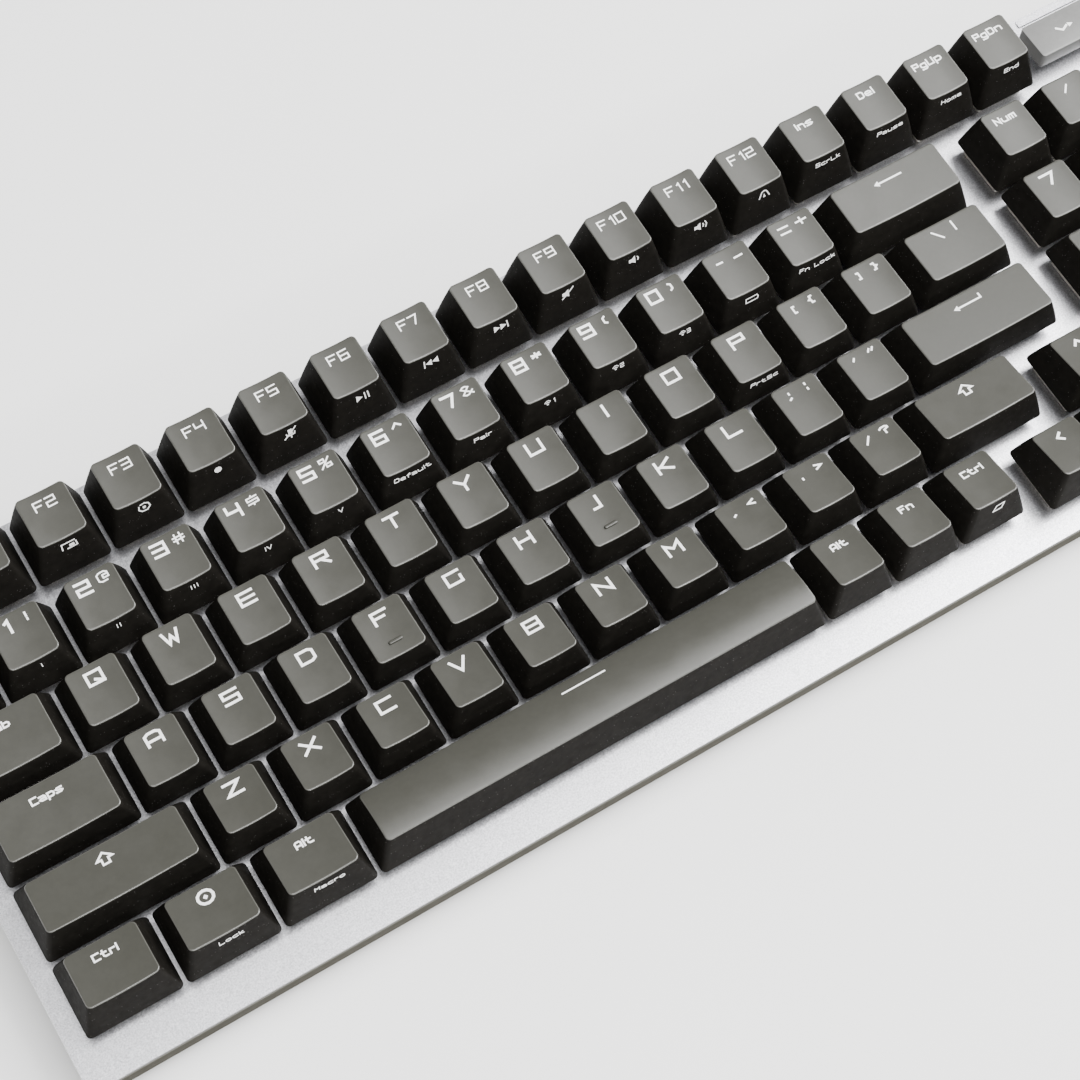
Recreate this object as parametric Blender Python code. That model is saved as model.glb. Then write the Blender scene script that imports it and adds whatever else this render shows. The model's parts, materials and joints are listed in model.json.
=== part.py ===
"""Wireless mechanical keyboard, 96 per cent layout, with a media hub in its rear right corner.

The switch deck (plate, circuit board, switch housings and keys) is one flat stack that is tilted
towards the typist. Everything on it is placed in the deck's own frame: X to the right, Y away from
the typist and Z out of the aluminium plate, with the plate's upper face at Z = 0. The case, its
pads and its feet stand square to the table. Metres throughout.
"""

import math

import bmesh
import bpy
from mathutils import Matrix, Vector

MODEL_NAME = "mechanical_keyboard"

# Key grid
UNIT = 0.01905                  # key pitch
CAP_SPACING = 0.00095           # between the skirts of neighbouring caps
FUNCTION_ROW_GAP = 0.0035       # extra space in front of the function row
FUNCTION_ROW_SHIFT = -0.0006
BLOCK_UNITS = 19.418            # width of the whole key block
ARROW_GAP = 0.25                # empty space left of the arrow keys, in units
NUMPAD_GAP = 0.418              # empty space between the main keys and the number pad, in units
ARROW_DROP = 0.0032             # how far the arrow keys sit in front of their rows
ROW_COUNT = 6

# Deck stack, measured from the plate's upper face
TILT = math.radians(4.5)
PLATE_SIDE_BORDER = 0.0046
PLATE_FRONT_BORDER = 0.0090
PLATE_REAR_BORDER = 0.0026
PLATE_THICKNESS = 0.0015
PLATE_CORNER_RADIUS = 0.003
PLATE_FRONT_HEIGHT = 0.0118     # plate's upper front edge above the table
BOARD_TOP = -0.0050
BOARD_THICKNESS = 0.0016
PAD_THICKNESS = 0.0012
CLEARANCE = 0.0003              # between pieces that touch

# Keys
RIM_HEIGHT = 0.0043             # cap's lower rim above the plate at rest
CAP_WALL = 0.0012
CAP_ROOF = 0.0014
CAP_TAPER = 0.00298             # each side's lean from rim to top
WEB_HALF_WIDTH = 0.0030
WEB_HEIGHT = 0.0010
WEB_REACH = 0.0008              # how far a web runs into each skirt
SLIDER_HALF = 0.0026
SLIDER_TIP = 0.0045             # slider's lower end above the plate at rest

# Top of the cap in each row: front and rear edge from the key's centre, and their heights above
# the rim. Row 0 is the function row, row 5 the one with the space bar.
ROW_PROFILES = [
    (-0.0058, 0.0072, 0.0123, 0.0129),
    (-0.0061, 0.0069, 0.0106, 0.0109),
    (-0.0071, 0.0068, 0.0091, 0.0088),
    (-0.0073, 0.0066, 0.0095, 0.0085),
    (-0.0065, 0.0065, 0.0108, 0.0084),
    (-0.0062, 0.0070, 0.0112, 0.0083),
]

# Switch housings
HOUSING_BODY_HALF = 0.0067
HOUSING_FLANGE_HALF = 0.0074
HOUSING_TOP_HALF = 0.0048
HOUSING_TOP = 0.0066
HOUSING_BORE_HALF = 0.0032
HOUSING_BORE_FLOOR = -0.0006
HOUSING_ROOT = -0.0056
PLATE_HOLE_HALF = 0.0070

# Stabilisers of the wide and tall keys
STABILISER_OFFSET = 0.0119
SPACE_STABILISER_OFFSET = 0.0500
STABILISER_HALF = (0.0027, 0.0042)
STABILISER_TOP = 0.0030
STABILISER_BORE_HALF = 0.0019
STABILISER_BORE_FLOOR = -0.0030
STABILISER_SLIDER_HALF = 0.0015
STABILISER_SLIDER_TIP = 0.0014
STABILISER_HOLE_HALF = (0.0048, 0.0056)
WIRE_RADIUS = 0.00075
WIRE_AXIS_OFFSET = -0.0086      # wire's long bar from the centre of the space bar
WIRE_AXIS_HEIGHT = -0.0039
WIRE_LEG_OFFSET = 0.0536
WIRE_LEG_LENGTH = 0.00825
WIRE_LEG_ANGLE = math.radians(29.0)

# Media hub in the rear right corner
HUB_LEFT = 0.3251               # from the key block's left edge
HUB_FRONT = 0.0995              # from the key block's front edge
HUB_REAR = 0.1174
HUB_HEIGHT = 0.0080
HUB_SIDE_LEAN = 0.0014
HUB_FRONT_LEAN = 0.0025
HUB_REAR_LEAN = 0.0009
HUB_WALL = 0.0014
BUTTON_WIDTH = 0.0215
BUTTON_RIM = 0.0008             # hub left of the button and in front of it
BUTTON_REAR_RIM = 0.0033
BUTTON_DEPTH = 0.0042
BUTTON_PROUD = 0.0004
BUTTON_TRAVEL = 0.0010
ROLLER_RADIUS = 0.0070
ROLLER_WIDTH = 0.0090
ROLLER_HEIGHT = 0.0040
ROLLER_RIBS = 24
ROLLER_RIB_DEPTH = 0.00045
ROLLER_RIGHT_MARGIN = 0.0034
ROLLER_MIDDLE = 0.1080          # from the key block's front edge

# Case, pads and feet, square to the table
CASE_INSET = 0.0004             # case wall behind the plate's edge
CASE_BOTTOM = 0.0020
CASE_WALL = 0.0018
CASE_FLOOR = 0.0015
CASE_CHAMFER = (0.0025, 0.0030)
BATTERY_SIZE = (0.0900, 0.0400, 0.0052)
BATTERY_CENTRE_Y = 0.0330
RUBBER_SIZE = (0.0400, 0.0070)
RUBBER_X = 0.1500
RUBBER_FRONT_Y = -0.0570
RUBBER_REAR_Y = 0.0575
FOOT_X = 0.1500
FOOT_SIZE = (0.0240, 0.0170, 0.0042)
FOOT_AXIS_Y = 0.0500
FOOT_BARREL_RADIUS = 0.0021
POCKET_WALL = 0.0014
POCKET_CLEARANCE = 0.0006

# Rear wall: charging socket and mode switch
SOCKET_X = -0.0450
SOCKET_OUTER = (0.00900, 0.0072, 0.0032)
SOCKET_WALL = 0.00045
SOCKET_TONGUE = (0.0066, 0.0045, 0.0006)
SOCKET_DROP = 0.0022            # socket's middle below the board's lower face
SWITCH_X = 0.0050
SWITCH_KNOB = (0.0034, 0.0040, 0.0020)
SWITCH_TRAVEL = 0.0025
REAR_HOLE_CLEARANCE = 0.0005

PLATE_WIDTH = BLOCK_UNITS * UNIT + 2 * PLATE_SIDE_BORDER
BLOCK_DEPTH = ROW_COUNT * UNIT + FUNCTION_ROW_GAP
PLATE_DEPTH = PLATE_FRONT_BORDER + BLOCK_DEPTH + PLATE_REAR_BORDER
BLOCK_LEFT = -BLOCK_UNITS * UNIT / 2
BLOCK_FRONT = PLATE_FRONT_BORDER - PLATE_DEPTH / 2
BOARD_BOTTOM = BOARD_TOP - BOARD_THICKNESS
PAD_TOP = BOARD_BOTTOM - CLEARANCE
DECK_ORIGIN = Vector((
    0.0,
    -PLATE_THICKNESS * math.sin(TILT) / 2,
    PLATE_FRONT_HEIGHT + PLATE_DEPTH / 2 * math.sin(TILT),
))
DECK_MATRIX = Matrix.Translation(DECK_ORIGIN) @ Matrix.Rotation(TILT, 4, "X")

# Rows of keys from left to right: (name, width in units), or a bare width for an empty space.
LAYOUT = [
    [("escape", 1)] + [(f"f{number}", 1) for number in range(1, 13)]
    + [("insert", 1), ("delete", 1), ("page_up", 1), ("page_down", 1)],
    [("grave", 1)] + [(digit, 1) for digit in "1234567890"]
    + [("minus", 1), ("equal", 1), ("backspace", 2), NUMPAD_GAP]
    + [("num_lock", 1), ("divide", 1), ("multiply", 1), ("subtract", 1)],
    [("tab", 1.5)] + [(letter, 1) for letter in "qwertyuiop"]
    + [("left_bracket", 1), ("right_bracket", 1), ("backslash", 1.5), NUMPAD_GAP]
    + [("pad_7", 1), ("pad_8", 1), ("pad_9", 1), ("numpad_plus", 1)],
    [("caps_lock", 1.75)] + [(letter, 1) for letter in "asdfghjkl"]
    + [("semicolon", 1), ("quote", 1), ("enter", 2.25), NUMPAD_GAP]
    + [("pad_4", 1), ("pad_5", 1), ("pad_6", 1)],
    [("left_shift", 2.25)] + [(letter, 1) for letter in "zxcvbnm"]
    + [("comma", 1), ("period", 1), ("slash", 1), ("right_shift", 1.75), ARROW_GAP]
    + [("up", 1), NUMPAD_GAP - ARROW_GAP, ("pad_1", 1), ("pad_2", 1), ("pad_3", 1), ("numpad_enter", 1)],
    [("left_control", 1.25), ("system", 1.25), ("left_alt", 1.25), ("space", 6.25)]
    + [("right_alt", 1), ("function", 1), ("right_control", 1), ARROW_GAP]
    + [("left", 1), ("down", 1), ("right", 1), NUMPAD_GAP - ARROW_GAP]
    + [("pad_0", 1), ("pad_point", 1)],
]
ARROW_KEYS = ["up", "left", "down", "right"]
TALL_KEYS = ("numpad_plus", "numpad_enter")
STABILISED = {
    "backspace": STABILISER_OFFSET,
    "enter": STABILISER_OFFSET,
    "left_shift": STABILISER_OFFSET,
    "space": SPACE_STABILISER_OFFSET,
    "numpad_plus": STABILISER_OFFSET,
    "numpad_enter": STABILISER_OFFSET,
}
# Keys that are joined at their skirts and travel together, one node for each bank.
BANKS = {
    "function_keys": ["escape"] + [f"f{number}" for number in range(1, 13)]
    + ["insert", "delete", "page_up", "page_down"],
    "number_keys": ["grave"] + list("1234567890") + ["minus", "equal"],
    "bracket_keys": ["left_bracket", "right_bracket", "backslash"],
    "quote_keys": ["semicolon", "quote"],
    "comma_keys": ["comma", "period", "slash", "right_shift"],
    "left_modifier_keys": ["left_control", "system", "left_alt"],
    "right_modifier_keys": ["right_alt", "function", "right_control"],
    "arrow_keys": ARROW_KEYS,
    "numpad_keys": ["num_lock", "divide", "multiply", "subtract", "pad_7", "pad_8", "pad_9",
                    "pad_4", "pad_5", "pad_6", "pad_1", "pad_2", "pad_3", "pad_0", "pad_point"],
}

COLORS = {
    "key_plastic": ((0.045, 0.043, 0.040), 0.45, 0.0),
    "plate_aluminium": ((0.60, 0.60, 0.62), 0.35, 1.0),
    "case_plastic": ((0.11, 0.11, 0.10), 0.55, 0.0),
    "board": ((0.02, 0.02, 0.02), 0.50, 0.0),
    "foam": ((0.05, 0.05, 0.05), 0.95, 0.0),
    "cell_wrap": ((0.55, 0.56, 0.58), 0.40, 0.0),
    "steel": ((0.62, 0.62, 0.63), 0.30, 1.0),
    "rubber": ((0.02, 0.02, 0.02), 0.85, 0.0),
    "button_face": ((0.20, 0.20, 0.19), 0.40, 0.0),
}


def clear_scene():
    for item in list(bpy.data.objects):
        bpy.data.objects.remove(item, do_unlink=True)
    for name in (MODEL_NAME, "cutters"):
        old = bpy.data.collections.get(name)
        if old:
            bpy.data.collections.remove(old)


def make_collection(name):
    collection = bpy.data.collections.new(name)
    bpy.context.scene.collection.children.link(collection)
    return collection


def make_material(name, color, roughness, metallic):
    material = bpy.data.materials.new(name)
    material.use_nodes = True
    shader = material.node_tree.nodes["Principled BSDF"]
    shader.inputs["Base Color"].default_value = (*color, 1.0)
    shader.inputs["Roughness"].default_value = roughness
    shader.inputs["Metallic"].default_value = metallic
    material.diffuse_color = (*color, 1.0)
    return material


clear_scene()
PARTS = make_collection(MODEL_NAME)
CUTTERS = make_collection("cutters")
DECK = bpy.data.objects.new("deck", None)
DECK.matrix_world = DECK_MATRIX
PARTS.objects.link(DECK)


# --- mesh helpers -----------------------------------------------------------------------------

def add_box(mesh, low, high):
    """Add a box between two corners to a bmesh."""
    low = Vector(low)
    high = Vector(high)
    size = high - low
    place = Matrix.Translation((low + high) / 2) @ Matrix.Diagonal((*size, 1.0))
    bmesh.ops.create_cube(mesh, size=1.0, matrix=place)


def rectangle(center, half, height):
    """Corners of a level rectangle, counter-clockwise from above."""
    x, y = center
    half_x, half_y = half
    signs = ((-1, -1), (1, -1), (1, 1), (-1, 1))
    return [Vector((x + sx * half_x, y + sy * half_y, height)) for sx, sy in signs]


def add_loft(mesh, rings):
    """Add a closed body that runs through rings of equal count, capped at both ends."""
    loops = [[mesh.verts.new(point) for point in ring] for ring in rings]
    count = len(rings[0])
    faces = [mesh.faces.new(loops[0]), mesh.faces.new(loops[-1])]
    for first, second in zip(loops, loops[1:]):
        for index in range(count):
            after = (index + 1) % count
            faces.append(mesh.faces.new((first[index], first[after], second[after], second[index])))
    bmesh.ops.recalc_face_normals(mesh, faces=faces)


def finish_object(name, mesh, material, parent=None, origin=(0, 0, 0), collection=None):
    """Turn a bmesh into an object whose origin sits at the given point of its parent's frame."""
    origin = Vector(origin)
    bmesh.ops.translate(mesh, verts=mesh.verts, vec=-origin)
    data = bpy.data.meshes.new(name)
    mesh.to_mesh(data)
    mesh.free()
    item = bpy.data.objects.new(name, data)
    (collection or PARTS).objects.link(item)
    if parent:
        item.parent = parent
    item.location = origin
    if material:
        data.materials.append(material)
    return item


def finish_cutter(name, mesh, parent=None, origin=(0, 0, 0)):
    cutter = finish_object(name, mesh, None, parent, origin, CUTTERS)
    cutter.display_type = "WIRE"
    cutter.hide_render = True
    return cutter


def add_boolean(item, cutter, operation):
    modifier = item.modifiers.new(cutter.name, "BOOLEAN")
    modifier.operation = operation
    modifier.solver = "EXACT"
    modifier.object = cutter


def round_upright_edges(item, radius, segments):
    """Bevel the edges that run along the object's own Z."""
    mesh = bmesh.new()
    mesh.from_mesh(item.data)
    upright = [edge for edge in mesh.edges
               if abs((edge.verts[0].co - edge.verts[1].co).normalized().z) > 0.99]
    bmesh.ops.bevel(mesh, geom=upright, offset=radius, segments=segments, profile=0.5,
                    affect="EDGES")
    mesh.to_mesh(item.data)
    mesh.free()


def deck_to_world(y, z):
    """A deck point's height above the table and place along the depth, as (y, z)."""
    point = DECK_MATRIX @ Vector((0.0, y, z))
    return point.y, point.z


# --- keys -------------------------------------------------------------------------------------

class Key:
    """One key's place in the deck's frame."""

    def __init__(self, name, row, left_units, width_units):
        self.name = name
        self.row = row
        rows_deep = 2 if name in TALL_KEYS else 1
        self.tall = rows_deep == 2
        rear = ROW_COUNT - row
        front = rear - rows_deep
        gap = FUNCTION_ROW_GAP if row == 0 else 0.0
        shift = FUNCTION_ROW_SHIFT if row == 0 else 0.0
        self.x = BLOCK_LEFT + (left_units + width_units / 2) * UNIT + shift
        drop = ARROW_DROP if name in ARROW_KEYS else 0.0
        self.y = BLOCK_FRONT + (front + rear) / 2 * UNIT + gap - drop
        self.half_x = (width_units * UNIT - CAP_SPACING) / 2
        self.half_y = (rows_deep * UNIT - CAP_SPACING) / 2

    def top_profile(self):
        """Front and rear edge of the top from the key's centre, with their heights."""
        front, rear, front_height, rear_height = ROW_PROFILES[self.row]
        if self.tall:
            front_height = ROW_PROFILES[self.row + 1][2]
            front -= UNIT / 2
            rear += UNIT / 2
        return front, rear, front_height, rear_height


def read_layout():
    keys = {}
    for row, entries in enumerate(LAYOUT):
        left = 0.0
        for entry in entries:
            if isinstance(entry, tuple):
                name, width = entry
                keys[name] = Key(name, row, left, width)
                left += width
            else:
                left += entry
    return keys


def cap_rings(key):
    """Rings from the cap's top, down its skirt, up inside it and down its slider."""
    front, rear, front_height, rear_height = key.top_profile()
    half_top = key.half_x - CAP_TAPER
    front_z = RIM_HEIGHT + front_height
    rear_z = RIM_HEIGHT + rear_height
    center = (key.x, key.y)
    outer_top = [
        Vector((key.x - half_top, key.y + front, front_z)),
        Vector((key.x + half_top, key.y + front, front_z)),
        Vector((key.x + half_top, key.y + rear, rear_z)),
        Vector((key.x - half_top, key.y + rear, rear_z)),
    ]
    roof = min(front_z, rear_z) - CAP_ROOF
    half_roof = half_top - CAP_WALL / 2
    inner_top = [
        Vector((key.x - half_roof, key.y + front + CAP_WALL, roof)),
        Vector((key.x + half_roof, key.y + front + CAP_WALL, roof)),
        Vector((key.x + half_roof, key.y + rear - CAP_WALL, roof)),
        Vector((key.x - half_roof, key.y + rear - CAP_WALL, roof)),
    ]
    slider = (SLIDER_HALF, SLIDER_HALF)
    return [
        outer_top,
        rectangle(center, (key.half_x, key.half_y), RIM_HEIGHT),
        rectangle(center, (key.half_x - CAP_WALL, key.half_y - CAP_WALL), RIM_HEIGHT),
        inner_top,
        rectangle(center, slider, roof),
        rectangle(center, slider, SLIDER_TIP),
    ]


def stabiliser_centers(key):
    offset = STABILISED.get(key.name)
    if offset is None:
        return []
    if key.tall:
        return [(key.x, key.y - offset), (key.x, key.y + offset)]
    return [(key.x - offset, key.y), (key.x + offset, key.y)]


def along_key(key, half):
    """Half sizes of a stabiliser piece, turned for a tall key."""
    return (half[1], half[0]) if key.tall else half


def webs(keys):
    """Boxes that join neighbouring skirts of one bank, as corner pairs."""
    low_z = RIM_HEIGHT
    high_z = RIM_HEIGHT + WEB_HEIGHT
    boxes = []
    reach = CAP_SPACING / 2 + WEB_REACH
    linked_rows = set()
    for first in keys:
        for second in keys:
            across = second.x - first.x
            along = first.y - second.y
            touch_x = abs(across - first.half_x - second.half_x - CAP_SPACING) < CAP_SPACING / 2
            if first.row == second.row and touch_x:
                x = first.x + first.half_x + CAP_SPACING / 2
                boxes.append(((x - reach, first.y - WEB_HALF_WIDTH, low_z),
                              (x + reach, first.y + WEB_HALF_WIDTH, high_z)))
            left = max(first.x - first.half_x, second.x - second.half_x)
            right = min(first.x + first.half_x, second.x + second.half_x)
            next_row = second.row == first.row + 1 and along > 0
            if next_row and right - left > 2 * WEB_HALF_WIDTH and first.row not in linked_rows:
                linked_rows.add(first.row)
                x = (left + right) / 2
                y = first.y - first.half_y - CAP_SPACING / 2
                boxes.append(((x - WEB_HALF_WIDTH, y - reach, low_z),
                              (x + WEB_HALF_WIDTH, y + reach, high_z)))
    return boxes


def add_key_node(name, keys, material):
    """One travelling solid: a single cap with its sliders, or a bank of caps joined by webs."""
    origin = (sum(key.x for key in keys) / len(keys), sum(key.y for key in keys) / len(keys),
              RIM_HEIGHT)
    caps = bmesh.new()
    for key in keys:
        add_loft(caps, cap_rings(key))
    node = finish_object(name, caps, material, DECK, origin)
    extra = bmesh.new()
    for low, high in webs(keys):
        add_box(extra, low, high)
    for key in keys:
        roof = RIM_HEIGHT + min(key.top_profile()[2:]) - CAP_ROOF / 2
        for x, y in stabiliser_centers(key):
            half = STABILISER_SLIDER_HALF
            add_box(extra, (x - half, y - half, STABILISER_SLIDER_TIP), (x + half, y + half, roof))
    if extra.verts:
        add_boolean(node, finish_cutter(name + "_joins", extra, DECK, origin), "UNION")
    else:
        extra.free()
    return node


# --- deck stack -------------------------------------------------------------------------------

def add_housing(mesh, center, body, flange, top, bore, heights):
    """A housing that passes through the plate: root, flange, tapered top and an open bore."""
    root, top_height, bore_floor = heights
    rings = [rectangle(center, body, root)]
    if flange != body:
        rings += [rectangle(center, body, CLEARANCE), rectangle(center, flange, CLEARANCE)]
    rings += [rectangle(center, top, top_height), rectangle(center, bore, top_height),
              rectangle(center, bore, bore_floor)]
    add_loft(mesh, rings)


def add_switch_board(keys, material):
    """Circuit board with every switch housing and stabiliser housing soldered to it."""
    margin = 0.0030
    half_x = PLATE_WIDTH / 2 - margin
    half_y = PLATE_DEPTH / 2 - margin
    board = bmesh.new()
    add_box(board, (-half_x, -half_y, BOARD_BOTTOM), (half_x, half_y, BOARD_TOP))
    node = finish_object("switch_board", board, material, DECK, (0, 0, BOARD_TOP))
    housings = bmesh.new()
    for key in keys.values():
        add_housing(
            housings, (key.x, key.y),
            (HOUSING_BODY_HALF, HOUSING_BODY_HALF), (HOUSING_FLANGE_HALF, HOUSING_FLANGE_HALF),
            (HOUSING_TOP_HALF, HOUSING_TOP_HALF), (HOUSING_BORE_HALF, HOUSING_BORE_HALF),
            (HOUSING_ROOT, HOUSING_TOP, HOUSING_BORE_FLOOR))
        half = along_key(key, STABILISER_HALF)
        for center in stabiliser_centers(key):
            add_housing(
                housings, center, half, half, half,
                (STABILISER_BORE_HALF, STABILISER_BORE_HALF),
                (HOUSING_ROOT, STABILISER_TOP, STABILISER_BORE_FLOOR))
    add_boolean(node, finish_cutter("housings", housings, DECK), "UNION")
    return node


def add_top_plate(keys, material):
    """Aluminium plate with a square hole for each switch and slots for stabilisers and roller."""
    half_x = PLATE_WIDTH / 2
    half_y = PLATE_DEPTH / 2
    plate = bmesh.new()
    add_box(plate, (-half_x, -half_y, -PLATE_THICKNESS), (half_x, half_y, 0))
    node = finish_object("top_plate", plate, material, DECK)
    round_upright_edges(node, PLATE_CORNER_RADIUS, 4)
    holes = bmesh.new()
    low_z = -2 * PLATE_THICKNESS
    high_z = PLATE_THICKNESS
    half = PLATE_HOLE_HALF
    for key in keys.values():
        add_box(holes, (key.x - half, key.y - half, low_z), (key.x + half, key.y + half, high_z))
        for x, y in stabiliser_centers(key):
            slot_x, slot_y = along_key(key, STABILISER_HOLE_HALF)
            add_box(holes, (x - slot_x, y - slot_y, low_z), (x + slot_x, y + slot_y, high_z))
    roller_x, roller_y = roller_center()
    slot_x = ROLLER_WIDTH / 2 + POCKET_CLEARANCE
    slot_y = ROLLER_RADIUS + POCKET_CLEARANCE
    add_box(holes, (roller_x - slot_x, roller_y - slot_y, low_z),
            (roller_x + slot_x, roller_y + slot_y, high_z))
    add_boolean(node, finish_cutter("plate_holes", holes, DECK), "DIFFERENCE")
    return node


def add_sound_pad(material):
    """Thin foam sheet under the board, cut short of the rear sockets."""
    side = 0.0040
    rear_cut = 0.0140
    pad = bmesh.new()
    add_box(pad, (-PLATE_WIDTH / 2 + side, -PLATE_DEPTH / 2 + side, PAD_TOP - PAD_THICKNESS),
            (PLATE_WIDTH / 2 - side, PLATE_DEPTH / 2 - rear_cut, PAD_TOP))
    return finish_object("sound_pad", pad, material, DECK, (0, 0, PAD_TOP))


def add_space_wire(space, material):
    """Bent steel wire that keeps the space bar level; its long bar is the hinge line."""
    reach = WIRE_LEG_LENGTH * math.cos(WIRE_LEG_ANGLE)
    rise = WIRE_LEG_LENGTH * math.sin(WIRE_LEG_ANGLE)
    points = [(-WIRE_LEG_OFFSET, reach, rise), (-WIRE_LEG_OFFSET, 0, 0),
              (WIRE_LEG_OFFSET, 0, 0), (WIRE_LEG_OFFSET, reach, rise)]
    curve = bpy.data.curves.new("space_wire_path", "CURVE")
    curve.dimensions = "3D"
    curve.bevel_depth = WIRE_RADIUS
    curve.bevel_resolution = 1
    curve.use_fill_caps = True
    spline = curve.splines.new("POLY")
    spline.points.add(len(points) - 1)
    for target, point in zip(spline.points, points):
        target.co = (*point, 1.0)
    wire = bpy.data.objects.new("space_stabiliser_wire", curve)
    PARTS.objects.link(wire)
    wire.parent = DECK
    wire.location = (space.x, space.y + WIRE_AXIS_OFFSET, WIRE_AXIS_HEIGHT)
    curve.materials.append(material)
    return wire


# --- media hub --------------------------------------------------------------------------------

def hub_outline():
    """Left, right, front and rear of the hub's foot in the deck's frame."""
    left = BLOCK_LEFT + HUB_LEFT
    right = BLOCK_LEFT + BLOCK_UNITS * UNIT
    return left, right, BLOCK_FRONT + HUB_FRONT, BLOCK_FRONT + HUB_REAR


def roller_center():
    """Middle of the roller in the deck's frame, seen from above."""
    right = BLOCK_LEFT + BLOCK_UNITS * UNIT
    x = right - HUB_SIDE_LEAN - ROLLER_RIGHT_MARGIN - ROLLER_WIDTH / 2
    return x, BLOCK_FRONT + ROLLER_MIDDLE


def button_corners():
    """Low and high corner of the media button in the deck's frame."""
    left, _, front, rear = hub_outline()
    low_x = left + HUB_SIDE_LEAN + BUTTON_RIM
    low = (low_x, front + HUB_FRONT_LEAN + BUTTON_RIM, HUB_HEIGHT - BUTTON_DEPTH)
    high_y = rear - HUB_REAR_LEAN - BUTTON_REAR_RIM
    high = (low_x + BUTTON_WIDTH, high_y, HUB_HEIGHT + BUTTON_PROUD)
    return low, high


def add_hub(material):
    """Low tapered housing with a well for the button and a slot for the roller."""
    left, right, front, rear = hub_outline()
    foot = [Vector((left, front, CLEARANCE)), Vector((right, front, CLEARANCE)),
            Vector((right, rear, CLEARANCE)), Vector((left, rear, CLEARANCE))]
    lean_x = HUB_SIDE_LEAN
    top = [Vector((left + lean_x, front + HUB_FRONT_LEAN, HUB_HEIGHT)),
           Vector((right - lean_x, front + HUB_FRONT_LEAN, HUB_HEIGHT)),
           Vector((right - lean_x, rear - HUB_REAR_LEAN, HUB_HEIGHT)),
           Vector((left + lean_x, rear - HUB_REAR_LEAN, HUB_HEIGHT))]
    block = bmesh.new()
    add_loft(block, [foot, top])
    hub = finish_object("control_hub", block, material, DECK, (left, front, 0))
    wells = bmesh.new()
    low, high = button_corners()
    gap = CLEARANCE
    well_floor = low[2] - BUTTON_TRAVEL - gap
    add_box(wells, (low[0] - gap, low[1] - gap, well_floor),
            (high[0] + gap, high[1] + gap, 2 * HUB_HEIGHT))
    x, y = roller_center()
    slot_x = ROLLER_WIDTH / 2 + POCKET_CLEARANCE
    slot_y = ROLLER_RADIUS + POCKET_CLEARANCE
    add_box(wells, (x - slot_x, y - slot_y, -HUB_HEIGHT), (x + slot_x, y + slot_y, 2 * HUB_HEIGHT))
    add_boolean(hub, finish_cutter("hub_wells", wells, DECK), "DIFFERENCE")
    return hub


def add_media_button(material):
    low, high = button_corners()
    body = bmesh.new()
    add_box(body, low, high)
    center = [(low[axis] + high[axis]) / 2 for axis in range(3)]
    button = finish_object("media_button", body, material, DECK, center)
    round_upright_edges(button, 0.0008, 2)
    return button


def add_volume_roller(material):
    """Ribbed wheel that turns about a line across the keyboard."""
    x, y = roller_center()
    wheel = bmesh.new()
    turn = Matrix.Rotation(math.pi / 2, 4, "Y")
    bmesh.ops.create_cone(wheel, cap_ends=True, segments=2 * ROLLER_RIBS, radius1=ROLLER_RADIUS,
                          radius2=ROLLER_RADIUS, depth=ROLLER_WIDTH, matrix=turn)
    for vert in wheel.verts:
        angle = math.atan2(vert.co.y, vert.co.z)
        step = round(angle / (math.pi / ROLLER_RIBS))
        if step % 2:
            vert.co.y *= 1 - ROLLER_RIB_DEPTH / ROLLER_RADIUS
            vert.co.z *= 1 - ROLLER_RIB_DEPTH / ROLLER_RADIUS
    bmesh.ops.translate(wheel, verts=wheel.verts, vec=(x, y, ROLLER_HEIGHT))
    return finish_object("volume_roller", wheel, material, DECK, (x, y, ROLLER_HEIGHT))


# --- case -------------------------------------------------------------------------------------

def outline_prism(name, points, half_length, material, collection=None):
    """Extrude an outline, given as (y, z) points, along X; returned as a welded mesh object."""
    curve = bpy.data.curves.new(name, "CURVE")
    curve.dimensions = "2D"
    curve.fill_mode = "BOTH"
    curve.extrude = half_length
    spline = curve.splines.new("POLY")
    spline.points.add(len(points) - 1)
    spline.use_cyclic_u = True
    for target, (y, z) in zip(spline.points, points):
        target.co = (y, z, 0.0, 1.0)
    drawn = bpy.data.objects.new(name + "_outline", curve)
    CUTTERS.objects.link(drawn)
    graph = bpy.context.evaluated_depsgraph_get()
    solid = bmesh.new()
    flat = bpy.data.meshes.new_from_object(drawn.evaluated_get(graph))
    solid.from_mesh(flat)
    bmesh.ops.remove_doubles(solid, verts=solid.verts, dist=1e-6)
    stand_up = Matrix(((0, 0, 1, 0), (1, 0, 0, 0), (0, 1, 0, 0), (0, 0, 0, 1)))
    bmesh.ops.transform(solid, verts=solid.verts, matrix=stand_up)
    bpy.data.objects.remove(drawn, do_unlink=True)
    return finish_object(name, solid, material, None, (0, 0, 0), collection)


def case_profile(inset, floor, top_clearance, chamfer):
    """Side outline of the case, clockwise from the front top, moved in by the given inset."""
    edge = PLATE_DEPTH / 2 - CASE_INSET - inset
    front_y, front_z = deck_to_world(-edge, top_clearance)
    rear_y, rear_z = deck_to_world(edge, top_clearance)
    run, rise = chamfer
    return [(front_y, front_z), (front_y, floor + rise), (front_y + run, floor),
            (rear_y - run, floor), (rear_y, floor + rise), (rear_y, rear_z)]


def foot_pocket(side, grow):
    """Low and high corner of the pocket in the case's underside that holds a folded foot."""
    width, length, thickness = FOOT_SIZE
    x = side * FOOT_X
    room = POCKET_CLEARANCE + grow
    rear = FOOT_AXIS_Y + FOOT_BARREL_RADIUS
    front = FOOT_AXIS_Y - length
    return (Vector((x - width / 2 - room, front - room, CASE_BOTTOM)),
            Vector((x + width / 2 + room, rear + room, CASE_BOTTOM + thickness + room)))


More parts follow.
